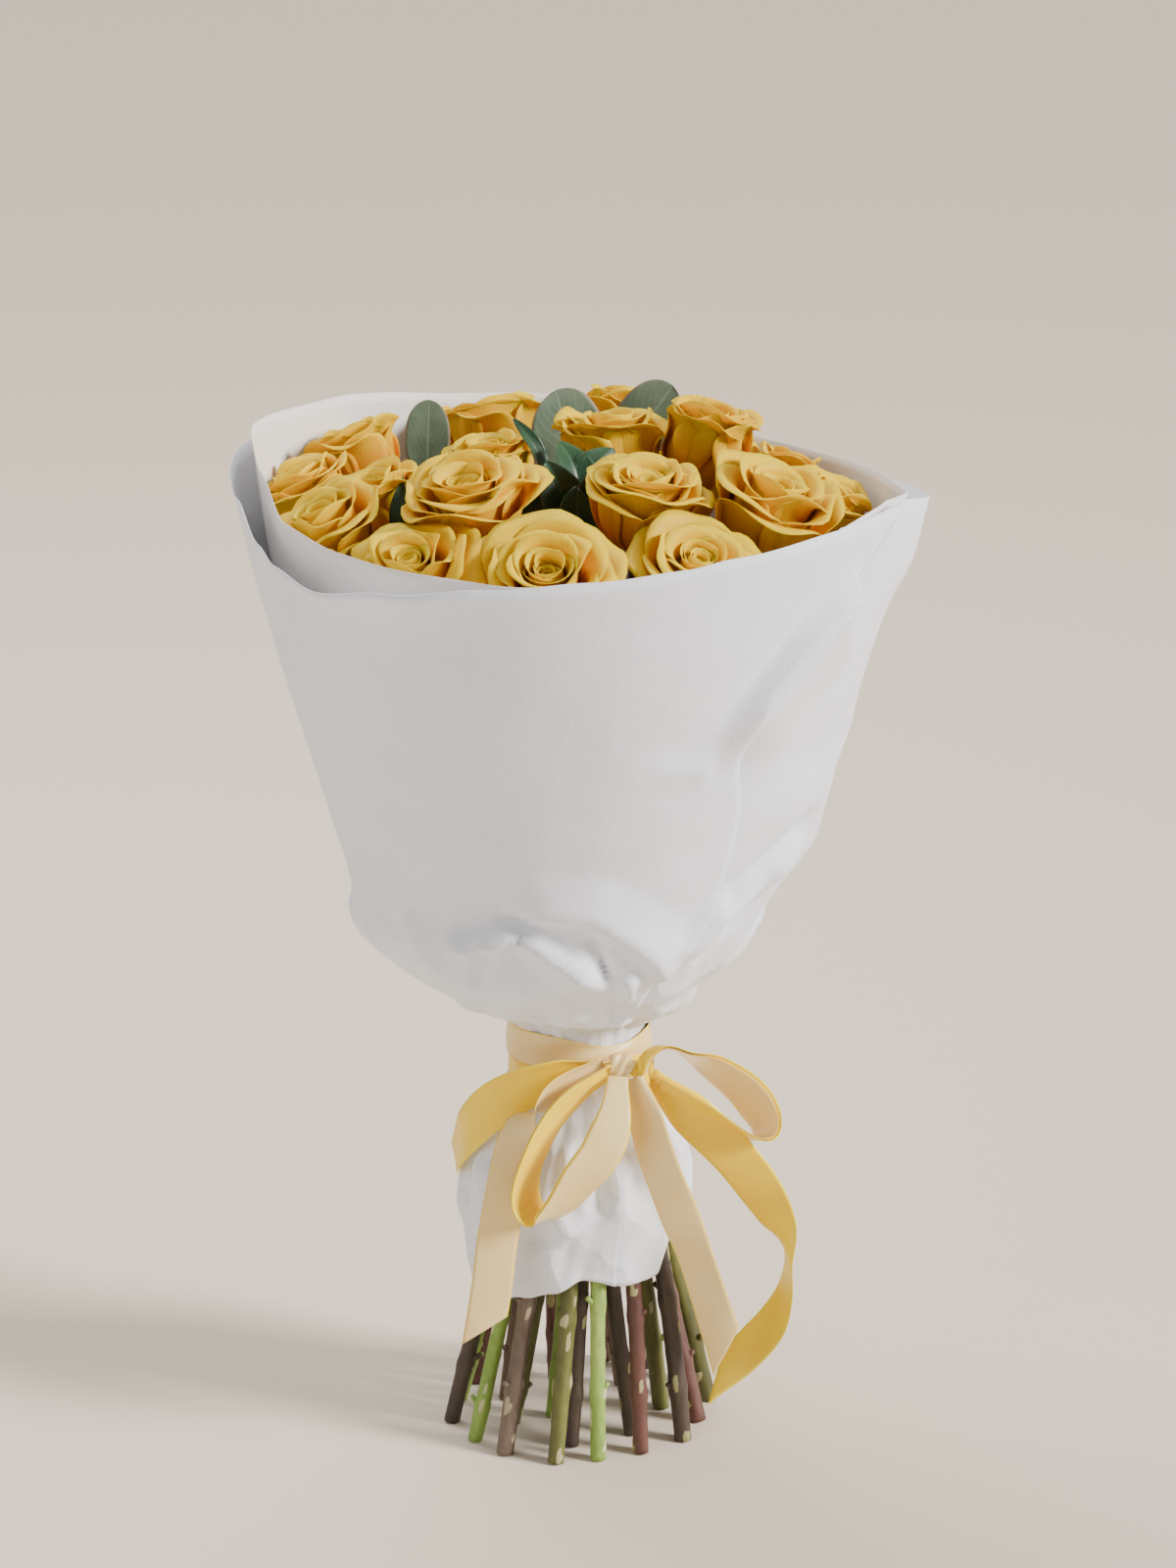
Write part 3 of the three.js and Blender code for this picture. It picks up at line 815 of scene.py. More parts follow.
STEM_BARKS = [
    DARK_BROWN, GREY_BROWN, BROWN_RED, DARK_BROWN, OLIVE, BROWN_RED, DARK_BROWN,
    FRESH_GREEN, GREY_BROWN, OLIVE, DARK_BROWN, DARK_BROWN, FRESH_GREEN, BROWN_RED,
    DARK_BROWN, OLIVE, DARK_BROWN, OLIVE, BROWN_RED,
]

for index, (bloom, bark) in enumerate(zip(ROSES, STEM_BARKS)):
    number = f"{index + 1:02d}"
    top = box_middle(f"rose_bloom_{number}") - bloom_axis(number) * 24 * MM
    rng = random.Random(index + 60)
    make_stem(f"rose_{number}_stem", [f"rose_stem_{number}"],
              stem_line(bloom, top), STEM_RADIUS * rng.uniform(0.98, 1.2), bark, index + 900)


# ---- Leaves ----
def leaf_turn(lean, roll, heading):
    """Stands a flat leaf up, then leans it back, rolls it and turns it to its heading."""
    return (
        Matrix.Rotation(math.radians(heading), 4, "Z")
        @ Matrix.Rotation(math.radians(90 - lean), 4, "X")
        @ Matrix.Rotation(math.radians(-roll), 4, "Z")
    )


def round_outline(along):
    """A broad leaf's half width along its length, as a share of the most."""
    return math.sqrt(max(1 - abs(2 * along ** 0.94 - 1) ** 2.3, 0.0))


def pointed_outline(along):
    """A pointed leaf's half width along its length, as a share of the most."""
    return max(math.sin(math.pi * along ** 0.8), 0.0) ** 0.85 * (1 - 0.35 * along ** 3)


def add_leaf(bm, uv_layer, centre, width, length, turn, outline, cup=0.1, curl=0.1, wave=0.4, seed=0):
    """A leaf's blade about its centre: cupped along its midrib, curled at its tip, wavy at its rim."""
    place_leaf = Matrix.Translation(centre) @ leaf_turn(*turn)
    rng = random.Random(seed)
    phase = rng.uniform(0, FULL_TURN)
    bend = rng.uniform(-0.08, 0.08)

    def place(across, share):
        u = across * 2 - 1
        along = 0.5 - 0.5 * math.cos(math.pi * share)
        half = width / 2 * outline(along)
        side = u * half + bend * length * math.sin(math.pi * along)
        back = cup * abs(u * half) - curl * length * (along - 0.35) ** 2 * 2
        back += wave * u * u * math.sin(9 * along + phase + 1.5 * u)
        return place_leaf @ (Vector((side, length * (along - 0.5), back)) * MM)

    shaped_grid(bm, 15, 21, place, uv_layer)


def add_stalk(bm, uv_layer, start, end, radius):
    """A thin stalk between two places, closed at both ends."""
    middle = start.lerp(end, 0.5) + Vector((0, 0, -1.0 * MM))
    line = evenly([start, middle, end], 8)
    add_tube(bm, line, lambda turn, step: radius, 7, uv_layer)


EUCALYPTUS_LEAVES = [
    {"node": "eucalyptus_leaf_1", "width": 25, "length": 39, "turn": (8, 0, -12)},
    {"node": "eucalyptus_leaf_2", "width": 40, "length": 47, "turn": (6, -22, 10)},
    {"node": "eucalyptus_leaf_3", "width": 34, "length": 42, "turn": (10, 38, -14)},
    {"node": "eucalyptus_leaf_4", "width": 24, "length": 31, "turn": (-48, -30, 10)},
    {"node": "eucalyptus_leaf_5", "width": 20, "length": 33, "turn": (-70, 8, 60)},
]

EUCALYPTUS_STEMS = [
    {"ring": OUTER_RING, "slot": 6, "top": (-82, 46, 528), "leaves": [0]},
    {"ring": INNER_RING, "slot": 2, "top": (16, 78, 524), "leaves": [1, 2]},
    {"ring": INNER_RING, "slot": 4, "top": (-67, -14, 518), "leaves": [3, 4]},
]


def leaf_base(leaf):
    """Where a leaf's blade meets its stalk."""
    centre = box_middle(leaf["node"])
    return centre + leaf_turn(*leaf["turn"]) @ Vector((0, -leaf["length"] * 0.49 * MM, 0))


def make_eucalyptus():
    """The five leaves, and the three stems with their stalks."""
    for index, leaf in enumerate(EUCALYPTUS_LEAVES):
        bm, uv_layer = new_shape()
        add_leaf(bm, uv_layer, box_middle(leaf["node"]), leaf["width"], leaf["length"], leaf["turn"],
                 round_outline, cup=0.07, curl=0.06, wave=0.35, seed=index + 3)
        finished(f"eucalyptus_blade_{index + 1}", bm, EUCALYPTUS_LEAF, [leaf["node"]],
                 0.5)
    for index, stem in enumerate(EUCALYPTUS_STEMS):
        top = at_tie(*stem["top"])
        make_stem(f"eucalyptus_sprig_{index + 1}", [f"eucalyptus_stem_{index + 1}"],
                  stem_line(stem, top), STEM_RADIUS, WOODY, index + 700, scars=5, knots=2)
        bm, uv_layer = new_shape()
        bm.verts.layers.float.new("scar")
        for number in stem["leaves"]:
            base = leaf_base(EUCALYPTUS_LEAVES[number])
            add_stalk(bm, uv_layer, top - Vector((0, 0, 3 * MM)), base, 1.3)
        finished(f"eucalyptus_stalks_{index + 1}", bm, WOODY, [])


FOLIAGE = [
    {
        "ring": CORE, "slot": 0, "top": (-4, -28, 528),
        "leaves": [
            ((-9, -40, 540), 24, 34, (-14, -20, 12)), ((8, -44, 540), 24, 33, (-24, 18, -18)),
            ((-3, -26, 546), 22, 38, (6, 2, 30)), ((-19, -30, 533), 22, 34, (-30, -50, 8)),
            ((16, -34, 537), 22, 33, (-20, 44, -20)), ((-2, -52, 532), 24, 30, (-46, 6, 0)),
            ((-21, -12, 552), 9, 44, (4, -8, 40)), ((6, -24, 547), 20, 34, (14, 18, -30)),
        ],
    },
    {
        "ring": OUTER_RING, "slot": 10, "top": (-95, -42, 518),
        "leaves": [
            ((-94, -41, 531), 14, 40, (8, -14, -24)), ((-83, -48, 518), 15, 36, (-20, 34, 20)),
            ((-80, -30, 524), 16, 34, (-40, 50, 10)),
        ],
    },
]


FOLIAGE_OUTLINES = [round_outline, pointed_outline]


def make_foliage():
    """The two sprigs: a stem each, and leaves on stalks."""
    for index, sprig in enumerate(FOLIAGE):
        top = at_tie(*sprig["top"])
        make_stem(f"foliage_stem_{index + 1}", [f"foliage_sprig_{index + 1}"],
                  stem_line(sprig, top), STEM_RADIUS, FRESH_GREEN, index + 800, scars=3, knots=2)
        bm, uv_layer = new_shape()
        for number, (centre, width, length, turn) in enumerate(sprig["leaves"]):
            middle = at_tie(*centre)
            add_leaf(bm, uv_layer, middle, width, length, turn, FOLIAGE_OUTLINES[index],
                     cup=0.5, curl=0.42, wave=1.3, seed=number + 40 * index)
            base = middle + leaf_turn(*turn) @ Vector((0, -length * 0.48 * MM, 0))
            add_stalk(bm, uv_layer, top - Vector((0, 0, 4 * MM)), base, 0.9)
        finished(f"foliage_leaves_{index + 1}", bm, FOLIAGE_LEAF, [], 0.35)


make_eucalyptus()
make_foliage()


# ---- Paper wrap ----
CREASE_DEPTH = 1.35  # on the skirt
BOWL_CREASE_DEPTH = 2.0


def crease(points, out, left, right, start=0.2, end=0.2):
    """A crease along (azimuth, height) points: how far it stands out in mm, how wide it is on its
    left and its right, and over what share of its length it rises from nothing at each end."""
    return {"points": points, "out": out, "left": left, "right": right, "start": start, "end": end}


FRONT_CREASES = [
    crease([(-62, 424), (-52, 461), (-45, 482), (-33, 502)], 7.5, 10, 46, 0.3, 0.06),
    crease([(-76, 426), (-62, 424)], 1.6, 7, 14, 0.4, 0.1),
    crease([(-109, 371), (-68, 430)], 0.9, 26, 30),
    crease([(-6, 552), (-10, 505), (-16, 470)], 4.0, 26, 26, 0.0, 0.5),
    crease([(-22, 376), (-40, 352), (-53, 334)], -4.0, 10, 12),
    crease([(-20, 362), (-38, 338), (-52, 326), (-60, 300)], 4.5, 9, 20),
    crease([(-34, 346), (-48, 318)], -2.5, 7, 9),
    crease([(-125, 313), (-111, 320), (-103, 330)], 4.6, 12, 8, 0.2, 0.1),
    crease([(-103, 330), (-92, 312), (-82, 294)], 5.2, 8, 12, 0.08, 0.3),
    crease([(-111, 320), (-118, 290)], -3.6, 7, 7, 0.1, 0.3),
    crease([(-110, 339), (-98, 333)], -2.4, 5, 7),
    crease([(-108, 341), (-87, 339), (-78, 326), (-71, 311), (-64, 290)], 4.2, 26, 6, 0.15, 0.1),
    crease([(-87, 331), (-81, 296)], -3.8, 7, 6),
    crease([(-77, 303), (-75, 280)], 4.4, 6, 6, 0.1, 0.2),
    crease([(-136, 330), (-130, 304), (-126, 280)], 1.6, 22, 14),
    crease([(-104, 270), (-104, 250)], -4.0, 13, 15, 0.2, 0.0),
    crease([(-96, 290), (-70, 262)], -2.6, 12, 14),
    # the skirt
    crease([(-78, 188), (-81, 160), (-77, 142)], -3.6, 12, 10),
    crease([(-46, 178), (-64, 162), (-77, 142)], 3.6, 12, 10),
    crease([(-112, 150), (-98, 138), (-90, 130)], 3.0, 9, 12),
    crease([(-126, 160), (-113, 120)], -3.0, 9, 12),
    crease([(-100, 186), (-94, 158)], 3.0, 10, 9),
    crease([(-30, 190), (-24, 168), (-36, 140)], 4.2, 12, 14),
    crease([(-62, 190), (-56, 150)], -2.8, 10, 9),
    crease([(-140, 190), (-146, 160), (-140, 120)], 3.6, 14, 12),
]


def scattered_creases(seed, count, azimuths, heights, out, reach):
    """Creases that run down or slant at seeded places."""
    rng = random.Random(seed)
    scattered = []
    for k in range(count):
        azimuth = mix(azimuths[0], azimuths[1], (k + rng.uniform(0.15, 0.85)) / count)
        top = rng.uniform(*heights)
        lean = rng.uniform(-9, 9)
        length = reach * rng.uniform(0.6, 1.3)
        sign = 1 if k % 2 == 0 else -1
        points = [(azimuth, top), (azimuth + lean, top - length)]
        scattered.append(crease(points, sign * out * rng.uniform(0.6, 1.2),
                                rng.uniform(7, 16), rng.uniform(7, 16), 0.25, 0.25))
    return scattered


SIDE_CREASES = (
    scattered_creases(5, 22, (-15, 222), (298, 345), 2.2, 42)
    + scattered_creases(6, 20, (-20, 226), (175, 195), 3.2, 46)
    + scattered_creases(7, 5, (20, 200), (480, 530), 1.8, 120)
    + scattered_creases(8, 16, (-170, -20), (256, 286), 1.8, 26)
)
ALL_CREASES = FRONT_CREASES + SIDE_CREASES


def with_bounds(item):
    """Adds the box outside of which a crease has no effect."""
    azimuths = [point[0] for point in item["points"]]
    heights = [point[1] for point in item["points"]]
    margin = max(item["left"], item["right"])
    item["box"] = (min(azimuths), max(azimuths), min(heights) - margin, max(heights) + margin)
    return item


for item in ALL_CREASES:
    with_bounds(item)


def crease_relief(azimuth, height, degree):
    """How far the creases move the paper out at a place, in mm. Degree is a degree's mm there."""
    relief = 0.0
    depth = BOWL_CREASE_DEPTH if height > TIE_LEVEL else CREASE_DEPTH
    for item in ALL_CREASES:
        low, high, bottom, top = item["box"]
        if not bottom <= height <= top:
            continue
        margin = max(item["left"], item["right"]) / degree
        middle = (low + high) / 2
        near = wrapped(azimuth - middle) + middle
        if not low - margin <= near <= high + margin:
            continue
        best, share = None, 0.0
        pieces = len(item["points"]) - 1
        for k, (a, b) in enumerate(zip(item["points"], item["points"][1:])):
            run_x, run_z = (b[0] - a[0]) * degree, b[1] - a[1]
            off_x, off_z = (near - a[0]) * degree, height - a[1]
            t = min(max((off_x * run_x + off_z * run_z) / (run_x ** 2 + run_z ** 2), 0.0), 1.0)
            gone = math.hypot(off_x - t * run_x, off_z - t * run_z)
            if best is None or gone < abs(best):
                best = gone if run_x * off_z - run_z * off_x > 0 else -gone
                share = (k + t) / pieces
        width = item["left"] if best > 0 else item["right"]
        away = abs(best)
        rise = 1.0
        if item["start"]:
            rise *= smooth(0.0, item["start"], share + 0.001)
        if item["end"]:
            rise *= smooth(0.0, item["end"], 1.001 - share)
        relief += depth * item["out"] * rise * max(0.0, 1 - away / width)
    return relief


def fold_directions(seed, lengths):
    """Seeded directions in which the paper is folded to and fro, each with its fold's length in mm."""
    rng = random.Random(seed)
    folds = []
    for length in lengths:
        direction = Vector((rng.uniform(-1, 1), rng.uniform(-1, 1), rng.uniform(-1, 1))).normalized()
        folds.append((direction, length, rng.uniform(0, 9)))
    return folds


WIDE_FOLDS = fold_directions(3, (74, 61, 52))
FINE_FOLDS = fold_directions(8, (37, 29, 24))


def facets(place, folds):
    """Flat facets that meet in sharp ridges, from -1 to 1."""
    relief = 0.0
    for direction, length, shift in folds:
        turn = place.dot(direction) / length + shift
        turn += 0.45 * noise.noise(place * 0.014 + direction * shift)
        relief += abs(turn % 1 * 2 - 1) * 2 - 1
    return relief / len(folds)


def crumple(azimuth, height):
    """Crumples: strong under the bowl and on the skirt, faint on the body, none at the tie."""
    angle = math.radians(azimuth)
    place = Vector((math.cos(angle) * 110, math.sin(angle) * 110, height))
    skirt = smooth(200, 178, height) if height < 200 else 0.0
    shoulder = smooth(238, 252, height) * (1 - smooth(285, 350, height))
    off = wrapped(azimuth + 28)
    flank = math.exp(-((off / 26) ** 2)) * smooth(255, 290, height) * (1 - smooth(380, 440, height))
    wide, fine = facets(place, WIDE_FOLDS), facets(place, FINE_FOLDS)
    relief = skirt * (2.6 * wide + 1.6 * fine) + shoulder * (4.2 * wide + 2.6 * fine)
    relief += flank * (4.0 * wide + 1.6 * fine)
    return relief + smooth(270, 340, height) * (0.5 * wide + 0.15 * fine)


def pleats(azimuth, height, seed):
    """The gathers that the tie draws the paper into."""
    turn = azimuth + 5 * noise.noise(Vector((azimuth * 0.05, height * 0.01, seed)))
    depth = (1.9 * smooth(150, 196, height) * (1 - smooth(196, 209, height))
             + 1.5 * smooth(233, 243, height) * (1 - smooth(250, 300, height)))
    flat = 0.45 * smooth(196, 209, height) * (1 - smooth(231, 238, height))
    zigzag = abs((turn * 27 / 360) % 1 * 2 - 1) * 2 - 1
    zigzag_wide = abs((turn * 11 / 360 + 0.3) % 1 * 2 - 1) * 2 - 1
    return depth * (0.55 * zigzag + 0.8 * zigzag_wide) + flat * zigzag


def by_tie(azimuth, radius, height, pull):
    """Places a sheet's point: leaning with the bunch, oval at the mouth, pulled in or out."""
    flare = max(0.0, (height - TIE_LEVEL) / (RIM_LEVEL - TIE_LEVEL))
    angle = math.radians(azimuth)
    out = radius + pull * flare ** 2
    depth = 1 - 0.06 * flare
    return at_tie(out * math.cos(angle) - 4 * flare, out * math.sin(angle) * depth - 9 * flare, height)


def bowl_share(height):
    """Nothing at the tie and above the bowl's widest part, most between them."""
    return smooth(240, 292, height) * (1 - smooth(300, 352, height))


def front_share(azimuth):
    """One at the front of the wrap, nothing at its back."""
    off = wrapped(azimuth + 95)
    return math.exp(-((off / 62) ** 4))


# The outer sheet's free edge, as (height, azimuth): it laps over the rest of the sheet.
FREE_EDGE = [
    (70, -70), (206, -68), (262, -70), (292, -67), (342, -54), (396, -53), (428, -56), (461, -53),
    (482, -46), (502, -34), (530, -18), (560, -8),
]
LINE_STEPS = 900  # points along a sheet's profile, from which its rows are picked
LAP = 22  # degrees by which the outer sheet laps over itself
LAP_STEP = 0.9  # half of the gap between the two layers, in mm


def free_edge(height):
    """The azimuth of the outer sheet's free edge at a height."""
    for (h0, a0), (h1, a1) in zip(FREE_EDGE, FREE_EDGE[1:]):
        if height <= h1:
            return mix(a0, a1, min(max((height - h0) / (h1 - h0), 0), 1))
    return FREE_EDGE[-1][1]


def spread_round(across):
    """Shares of the way round the sheet, closer together where the front shows."""
    return across + 0.045 * math.sin(FULL_TURN * across)


def crumpled_share(height):
    """How crumpled the paper's surface is: most on the skirt and under the bowl."""
    skirt = smooth(204, 180, height) if height < 204 else 0.0
    return 0.10 + 0.75 * skirt + 0.8 * smooth(236, 250, height) * (1 - smooth(275, 345, height))


def mark_crumpled(bm, verts):
    """Stores on each point how crumpled the paper is there."""
    layer = bm.verts.layers.float["crumpled"]
    for vert in verts:
        vert[layer] = crumpled_share(vert.co.z / MM)


def spread_up(along):
    """Shares of the way up the sheet, closer together on the skirt and the bowl than on the body."""
    return along * 0.74 + 0.26 * along ** 4


def make_outer_sheet():
    """The sheet that shows, lapped over itself at the front."""
    columns, rows = 336, 136
    side_line = profile_line(OUTER_PROFILE, LINE_STEPS)
    front_line = profile_line(OUTER_FRONT_PROFILE, LINE_STEPS)

    def place(across, along):
        row = round(spread_up(along) * LINE_STEPS)
        height = side_line[row].y
        azimuth = free_edge(height) - (360 + LAP) * spread_round(across)
        radius, height = side_line[row].lerp(front_line[row], front_share(azimuth)).xy
        top_share = max(0.0, (height - MOUTH_START) / (RIM_LEVEL - MOUTH_START)) ** 2
        low_share = max(0.0, (150 - height) / (150 - HEM_LEVEL))
        degree = math.radians(radius)
        relief = crease_relief(azimuth, height, degree) + crumple(azimuth, height)
        relief += pleats(azimuth, height, 0.0)
        tied = smooth(200, 208, height) * (1 - smooth(232, 238, height))
        lapped = LAP / (360 + LAP)
        over = 1 - smooth(lapped * 0.9, lapped * 1.6, across)
        step = over - smooth(1 - lapped * 1.6, 1 - lapped, across)
        radius += relief + LAP_STEP * step * mix(1.0, 0.45, tied)
        radius += round_value(BOWL_PULL, azimuth) * bowl_share(height)
        height += (round_value(OUTER_RIM, azimuth) - RIM_LEVEL) * top_share
        height += (round_value(HEM, azimuth) - HEM_LEVEL) * low_share
        return by_tie(azimuth, radius, height, round_value(OUTER_PULL, azimuth))

    bm, uv_layer = new_shape()
    bm.verts.layers.float.new("crumpled")
    mark_crumpled(bm, shaped_grid(bm, columns, rows, place, uv_layer))
    return finished("wrap_outer_paper", bm, PAPER_OUT_PAINTED_COOL_SHADE, ["wrap_outer_sheet"], 0.35)


def make_inner_sheet():
    """The sheet within, from the skirt up past the outer rim."""
    columns, rows = 200, 96
    line = profile_line(INNER_PROFILE, rows)

    def place(across, along):
        row = round(along * rows)
        radius, height = line[row].xy
        azimuth = 90 + 360 * across
        top_share = max(0.0, (height - MOUTH_START) / (INNER_RIM_LEVEL - MOUTH_START)) ** 2
        relief = 0.9 * crease_relief(azimuth, height, math.radians(radius))
        relief += 0.9 * crumple(azimuth, height) + pleats(azimuth, height, 0.0)
        raised = front_share(azimuth) * smooth(237, 247, height) * (1 - smooth(262, 285, height))
        height += (round_value(INNER_RIM, azimuth) - INNER_RIM_LEVEL) * top_share + 10 * raised
        radius += relief - 4 * raised + round_value(BOWL_PULL, azimuth) * bowl_share(height)
        return by_tie(azimuth, radius, height, round_value(INNER_PULL, azimuth))

    bm, uv_layer = new_shape()
    bm.verts.layers.float.new("crumpled")
    verts = shaped_grid(bm, columns, rows, place, uv_layer)
    mark_crumpled(bm, verts)
    weld(bm, verts)
    return finished("wrap_inner_paper", bm, PAPER_IN_PAINTED_WARM_LIGHT, ["wrap_inner_sheet"], 0.3)


OUTER_PAPER = make_outer_sheet()
INNER_PAPER = make_inner_sheet()


# ---- Ribbons ----
CREAM_WIDTH = 22
YELLOW_WIDTH = 25


def ribbon(name, material, nodes, width, route, across, offset=0.0, slant=0.0, gather=0.0,
           rows=90, gather_end=0.0):
    """A ribbon along a route of places off the tie, its width along the across directions.
    Offset moves it off the route along its face, slant cuts its far end, gather narrows its start."""
    middle = evenly([at_tie(*place) for place in route], rows)
    turns = [through([Vector(direction) for direction in across], k / rows) for k in range(rows + 1)]
    frames = []
    for k, place in enumerate(middle):
        ahead = (middle[min(k + 1, rows)] - middle[max(k - 1, 0)]).normalized()
        side = (turns[k] - ahead * turns[k].dot(ahead)).normalized()
        frames.append((place, ahead, side, ahead.cross(side)))

    def place(share, along):
        k = round(along * rows)
        centre, ahead, side, face = frames[k]
        off = (share - 0.5) * width
        pinch = 1 - gather * (1 - smooth(0.0, 0.16, along)) - gather_end * smooth(0.8, 1.0, along)
        fold = gather * 2.4 * (1 - smooth(0.0, 0.2, along)) * math.sin(share * 3.2 * math.pi)
        cut = slant * (share - 0.5) * smooth(0.82, 1.0, along)
        bow = 0.5 * (1 - (2 * share - 1) ** 2)
        return centre + (side * off * pinch + face * (offset + fold + bow) + ahead * cut) * MM

    bm, uv_layer = new_shape()
    shaped_grid(bm, 12, rows, place, uv_layer)
    piece = finished(name, bm, material, nodes, 0.3)
    return piece


LOOP_LEFT = [
    (18, -52, 225), (2, -60, 217), (-12, -67, 205), (-22, -71, 188), (-28, -74, 171), (-28, -76, 157),
    (-20, -79, 150), (-9, -82, 160), (1, -83, 175), (12, -80, 189), (19, -72, 206), (21, -56, 223),
]
LOOP_LEFT_ACROSS = [
    (0.2, -0.3, 0.9), (-0.1, -0.6, 0.8), (-0.4, -0.7, 0.5), (-0.55, -0.75, 0.2), (-0.6, -0.8, 0),
    (-0.65, -0.75, 0.05), (-0.75, -0.65, 0.15), (-0.8, -0.45, 0.35), (-0.8, -0.15, 0.5),
    (-0.85, 0, 0.5), (-0.95, 0, 0.2), (-1, 0, 0),
]
LOOP_RIGHT = [
    (33, -50, 223), (37, -52, 233), (46, -50, 238), (60, -47, 232), (76, -46, 222), (92, -48, 209),
    (101, -52, 193), (96, -58, 187), (82, -61, 196), (64, -60, 207), (44, -54, 218),
]
LOOP_RIGHT_ACROSS = [
    (0.3, -0.9, 0.1), (0.2, -0.9, 0.3), (0.1, -0.9, 0.4), (0.15, -0.6, 0.8), (0.3, -0.4, 0.9),
    (0.5, -0.3, 0.8), (0.6, -0.7, 0.4), (0.4, -0.9, 0.3), (0.3, -0.8, 0.5), (0.2, -0.7, 0.7),
    (0.2, -0.6, 0.8),
]


def make_bow():
    """The two loops, each of both ribbons laid together, and the four tails."""
    ribbon(
        "loop_left_cream", CREAM, ["bow_loop_left"], CREAM_WIDTH,
        LOOP_LEFT, LOOP_LEFT_ACROSS, offset=0.55, gather=0.5, gather_end=0.5)
    ribbon(
        "loop_left_yellow", YELLOW, [], YELLOW_WIDTH - 2,
        LOOP_LEFT, LOOP_LEFT_ACROSS, offset=-0.5, gather=0.5, gather_end=0.5)
    ribbon(
        "loop_right_yellow", YELLOW, ["bow_loop_right"], YELLOW_WIDTH,
        LOOP_RIGHT, LOOP_RIGHT_ACROSS, offset=-0.5, gather=0.5, gather_end=0.5)
    ribbon(
        "loop_right_cream", CREAM, [], CREAM_WIDTH,
        LOOP_RIGHT, LOOP_RIGHT_ACROSS, offset=0.5, gather=0.5, gather_end=0.5)
    ribbon(
        "end_cream_left", CREAM, ["tail_cream_left"], CREAM_WIDTH,
        [(14, -49, 226), (-3, -55, 218), (-18, -60, 209), (-30, -64, 196), (-36, -67, 178),
         (-40, -70, 156), (-44, -71, 134), (-47, -72, 108), (-51, -73, 82)],
        [(0.45, 0, 0.9), (0.45, 0, 0.9), (0.6, -0.1, 0.75), (0.85, -0.1, 0.4), (1, 0, 0.15),
         (1, 0, 0.05), (1, 0, 0.05), (1, 0, 0.05), (1, 0, 0.1)],
        slant=-20, gather=0.3)
    ribbon(
        "end_cream_right", CREAM, ["tail_cream_right"], CREAM_WIDTH,
        [(30, -54, 222), (34, -60, 210), (38, -65, 194), (44, -69, 176), (51, -72, 158),
         (58, -74, 140), (65, -75, 120), (72, -77, 98), (80, -79, 72)],
        [(0.8, -0.5, 0), (0.8, -0.5, 0), (0.9, -0.4, 0), (0.9, -0.3, 0.1), (0.95, -0.2, 0.2),
         (0.9, -0.4, 0.2), (0.9, -0.4, 0.2), (0.9, -0.3, 0.3), (0.9, -0.2, 0.4)],
        slant=-24, gather=0.5)
    ribbon(
        "end_yellow_right", YELLOW, ["tail_yellow_right"], YELLOW_WIDTH,
        [(38, -50, 221), (60, -57, 202), (79, -60, 184), (93, -61, 167), (104, -61, 149),
         (111, -60, 130), (114, -58, 112), (112, -56, 94), (105, -54, 77), (92, -53, 61), (76, -52, 47)],
        [(0.4, -0.4, 0.85), (0.6, -0.1, 0.77), (0.63, 0, 0.77), (0.7, -0.1, 0.7), (0.85, -0.2, 0.45),
         (0.8, -0.6, 0.2), (0.2, -1, -0.2), (0.2, -1, -0.3), (0.4, -0.85, -0.35), (0.5, -0.8, -0.4),
         (0.5, -0.8, -0.4)],
        slant=26, gather=0.45)
    ribbon(
        "end_yellow_left", YELLOW, ["tail_yellow_left"], YELLOW_WIDTH,
        [(10, -45, 224), (-4, -48, 221), (-19, -49, 217), (-34, -46, 210), (-46, -40, 200),
         (-56, -30, 187), (-64, -16, 171), (-69, 2, 152)],
        [(0, -0.4, 0.9), (0, -0.3, 0.9), (0, -0.2, 1), (-0.2, 0, 1), (-0.4, 0.4, 0.8), (-0.4, 0.7, 0.5),
         (-0.2, 0.9, 0.4), (-0.1, 0.9, 0.4)],
        slant=14, gather=0.5)


KNOT_AZIMUTH = -62


def make_band(name, material, node, radius, width, level, tilt):
    """A ribbon round the neck that narrows into folds at the knot."""
    columns = 120

    def place(across, along):
        azimuth = KNOT_AZIMUTH + 360 * along
        near = math.exp(-(wrapped(azimuth - KNOT_AZIMUTH) / 34) ** 2)
        off = (across - 0.5) * width * (1 - 0.5 * near)
        fold = (0.35 + 0.8 * near) * math.sin(across * 7 + 3 * math.sin(math.radians(azimuth * 2)))
        angle = math.radians(azimuth)
        out = radius + fold + 1.2 * near
        height = level + tilt * math.sin(math.radians(azimuth - KNOT_AZIMUTH)) + off
        height += 1.0 * math.sin(math.radians(azimuth * 3)) * (1 - near)
        return at_tie(out * math.cos(angle), out * math.sin(angle), height)

    bm, uv_layer = new_shape()
    verts = shaped_grid(bm, 14, columns, place, uv_layer)
    weld(bm, verts)
    piece = finished(name, bm, material, [node], 0.3)
    return piece


def make_knot(name, material, nodes, middle, reach, width, tip):
    """A knot: a short length of ribbon in folds, pulled tight round where the ribbons cross."""
    centre = at_tie(*middle)
    columns, rows = 16, 48

    def place(across, along):
        turn = FULL_TURN * along
        off = (across - 0.5) * 2
        fold = 0.9 * math.sin(off * 8 + 1.5 * math.sin(turn)) + 0.5 * math.sin(off * 3 + turn)
        bulge = 1 - 0.34 * off * off
        out = Vector((
            off * width / 2 * (1 + 0.25 * math.cos(turn)),
            -(reach * 0.75 * bulge + fold) * math.sin(turn),
            (reach * bulge + fold) * math.cos(turn),
        ))
        return centre + Matrix.Rotation(math.radians(tip), 3, "Y") @ out * MM

    bm, uv_layer = new_shape()
    verts = shaped_grid(bm, columns, rows, place, uv_layer)
    weld(bm, verts)
    return finished(name, bm, material, nodes, 0.4)


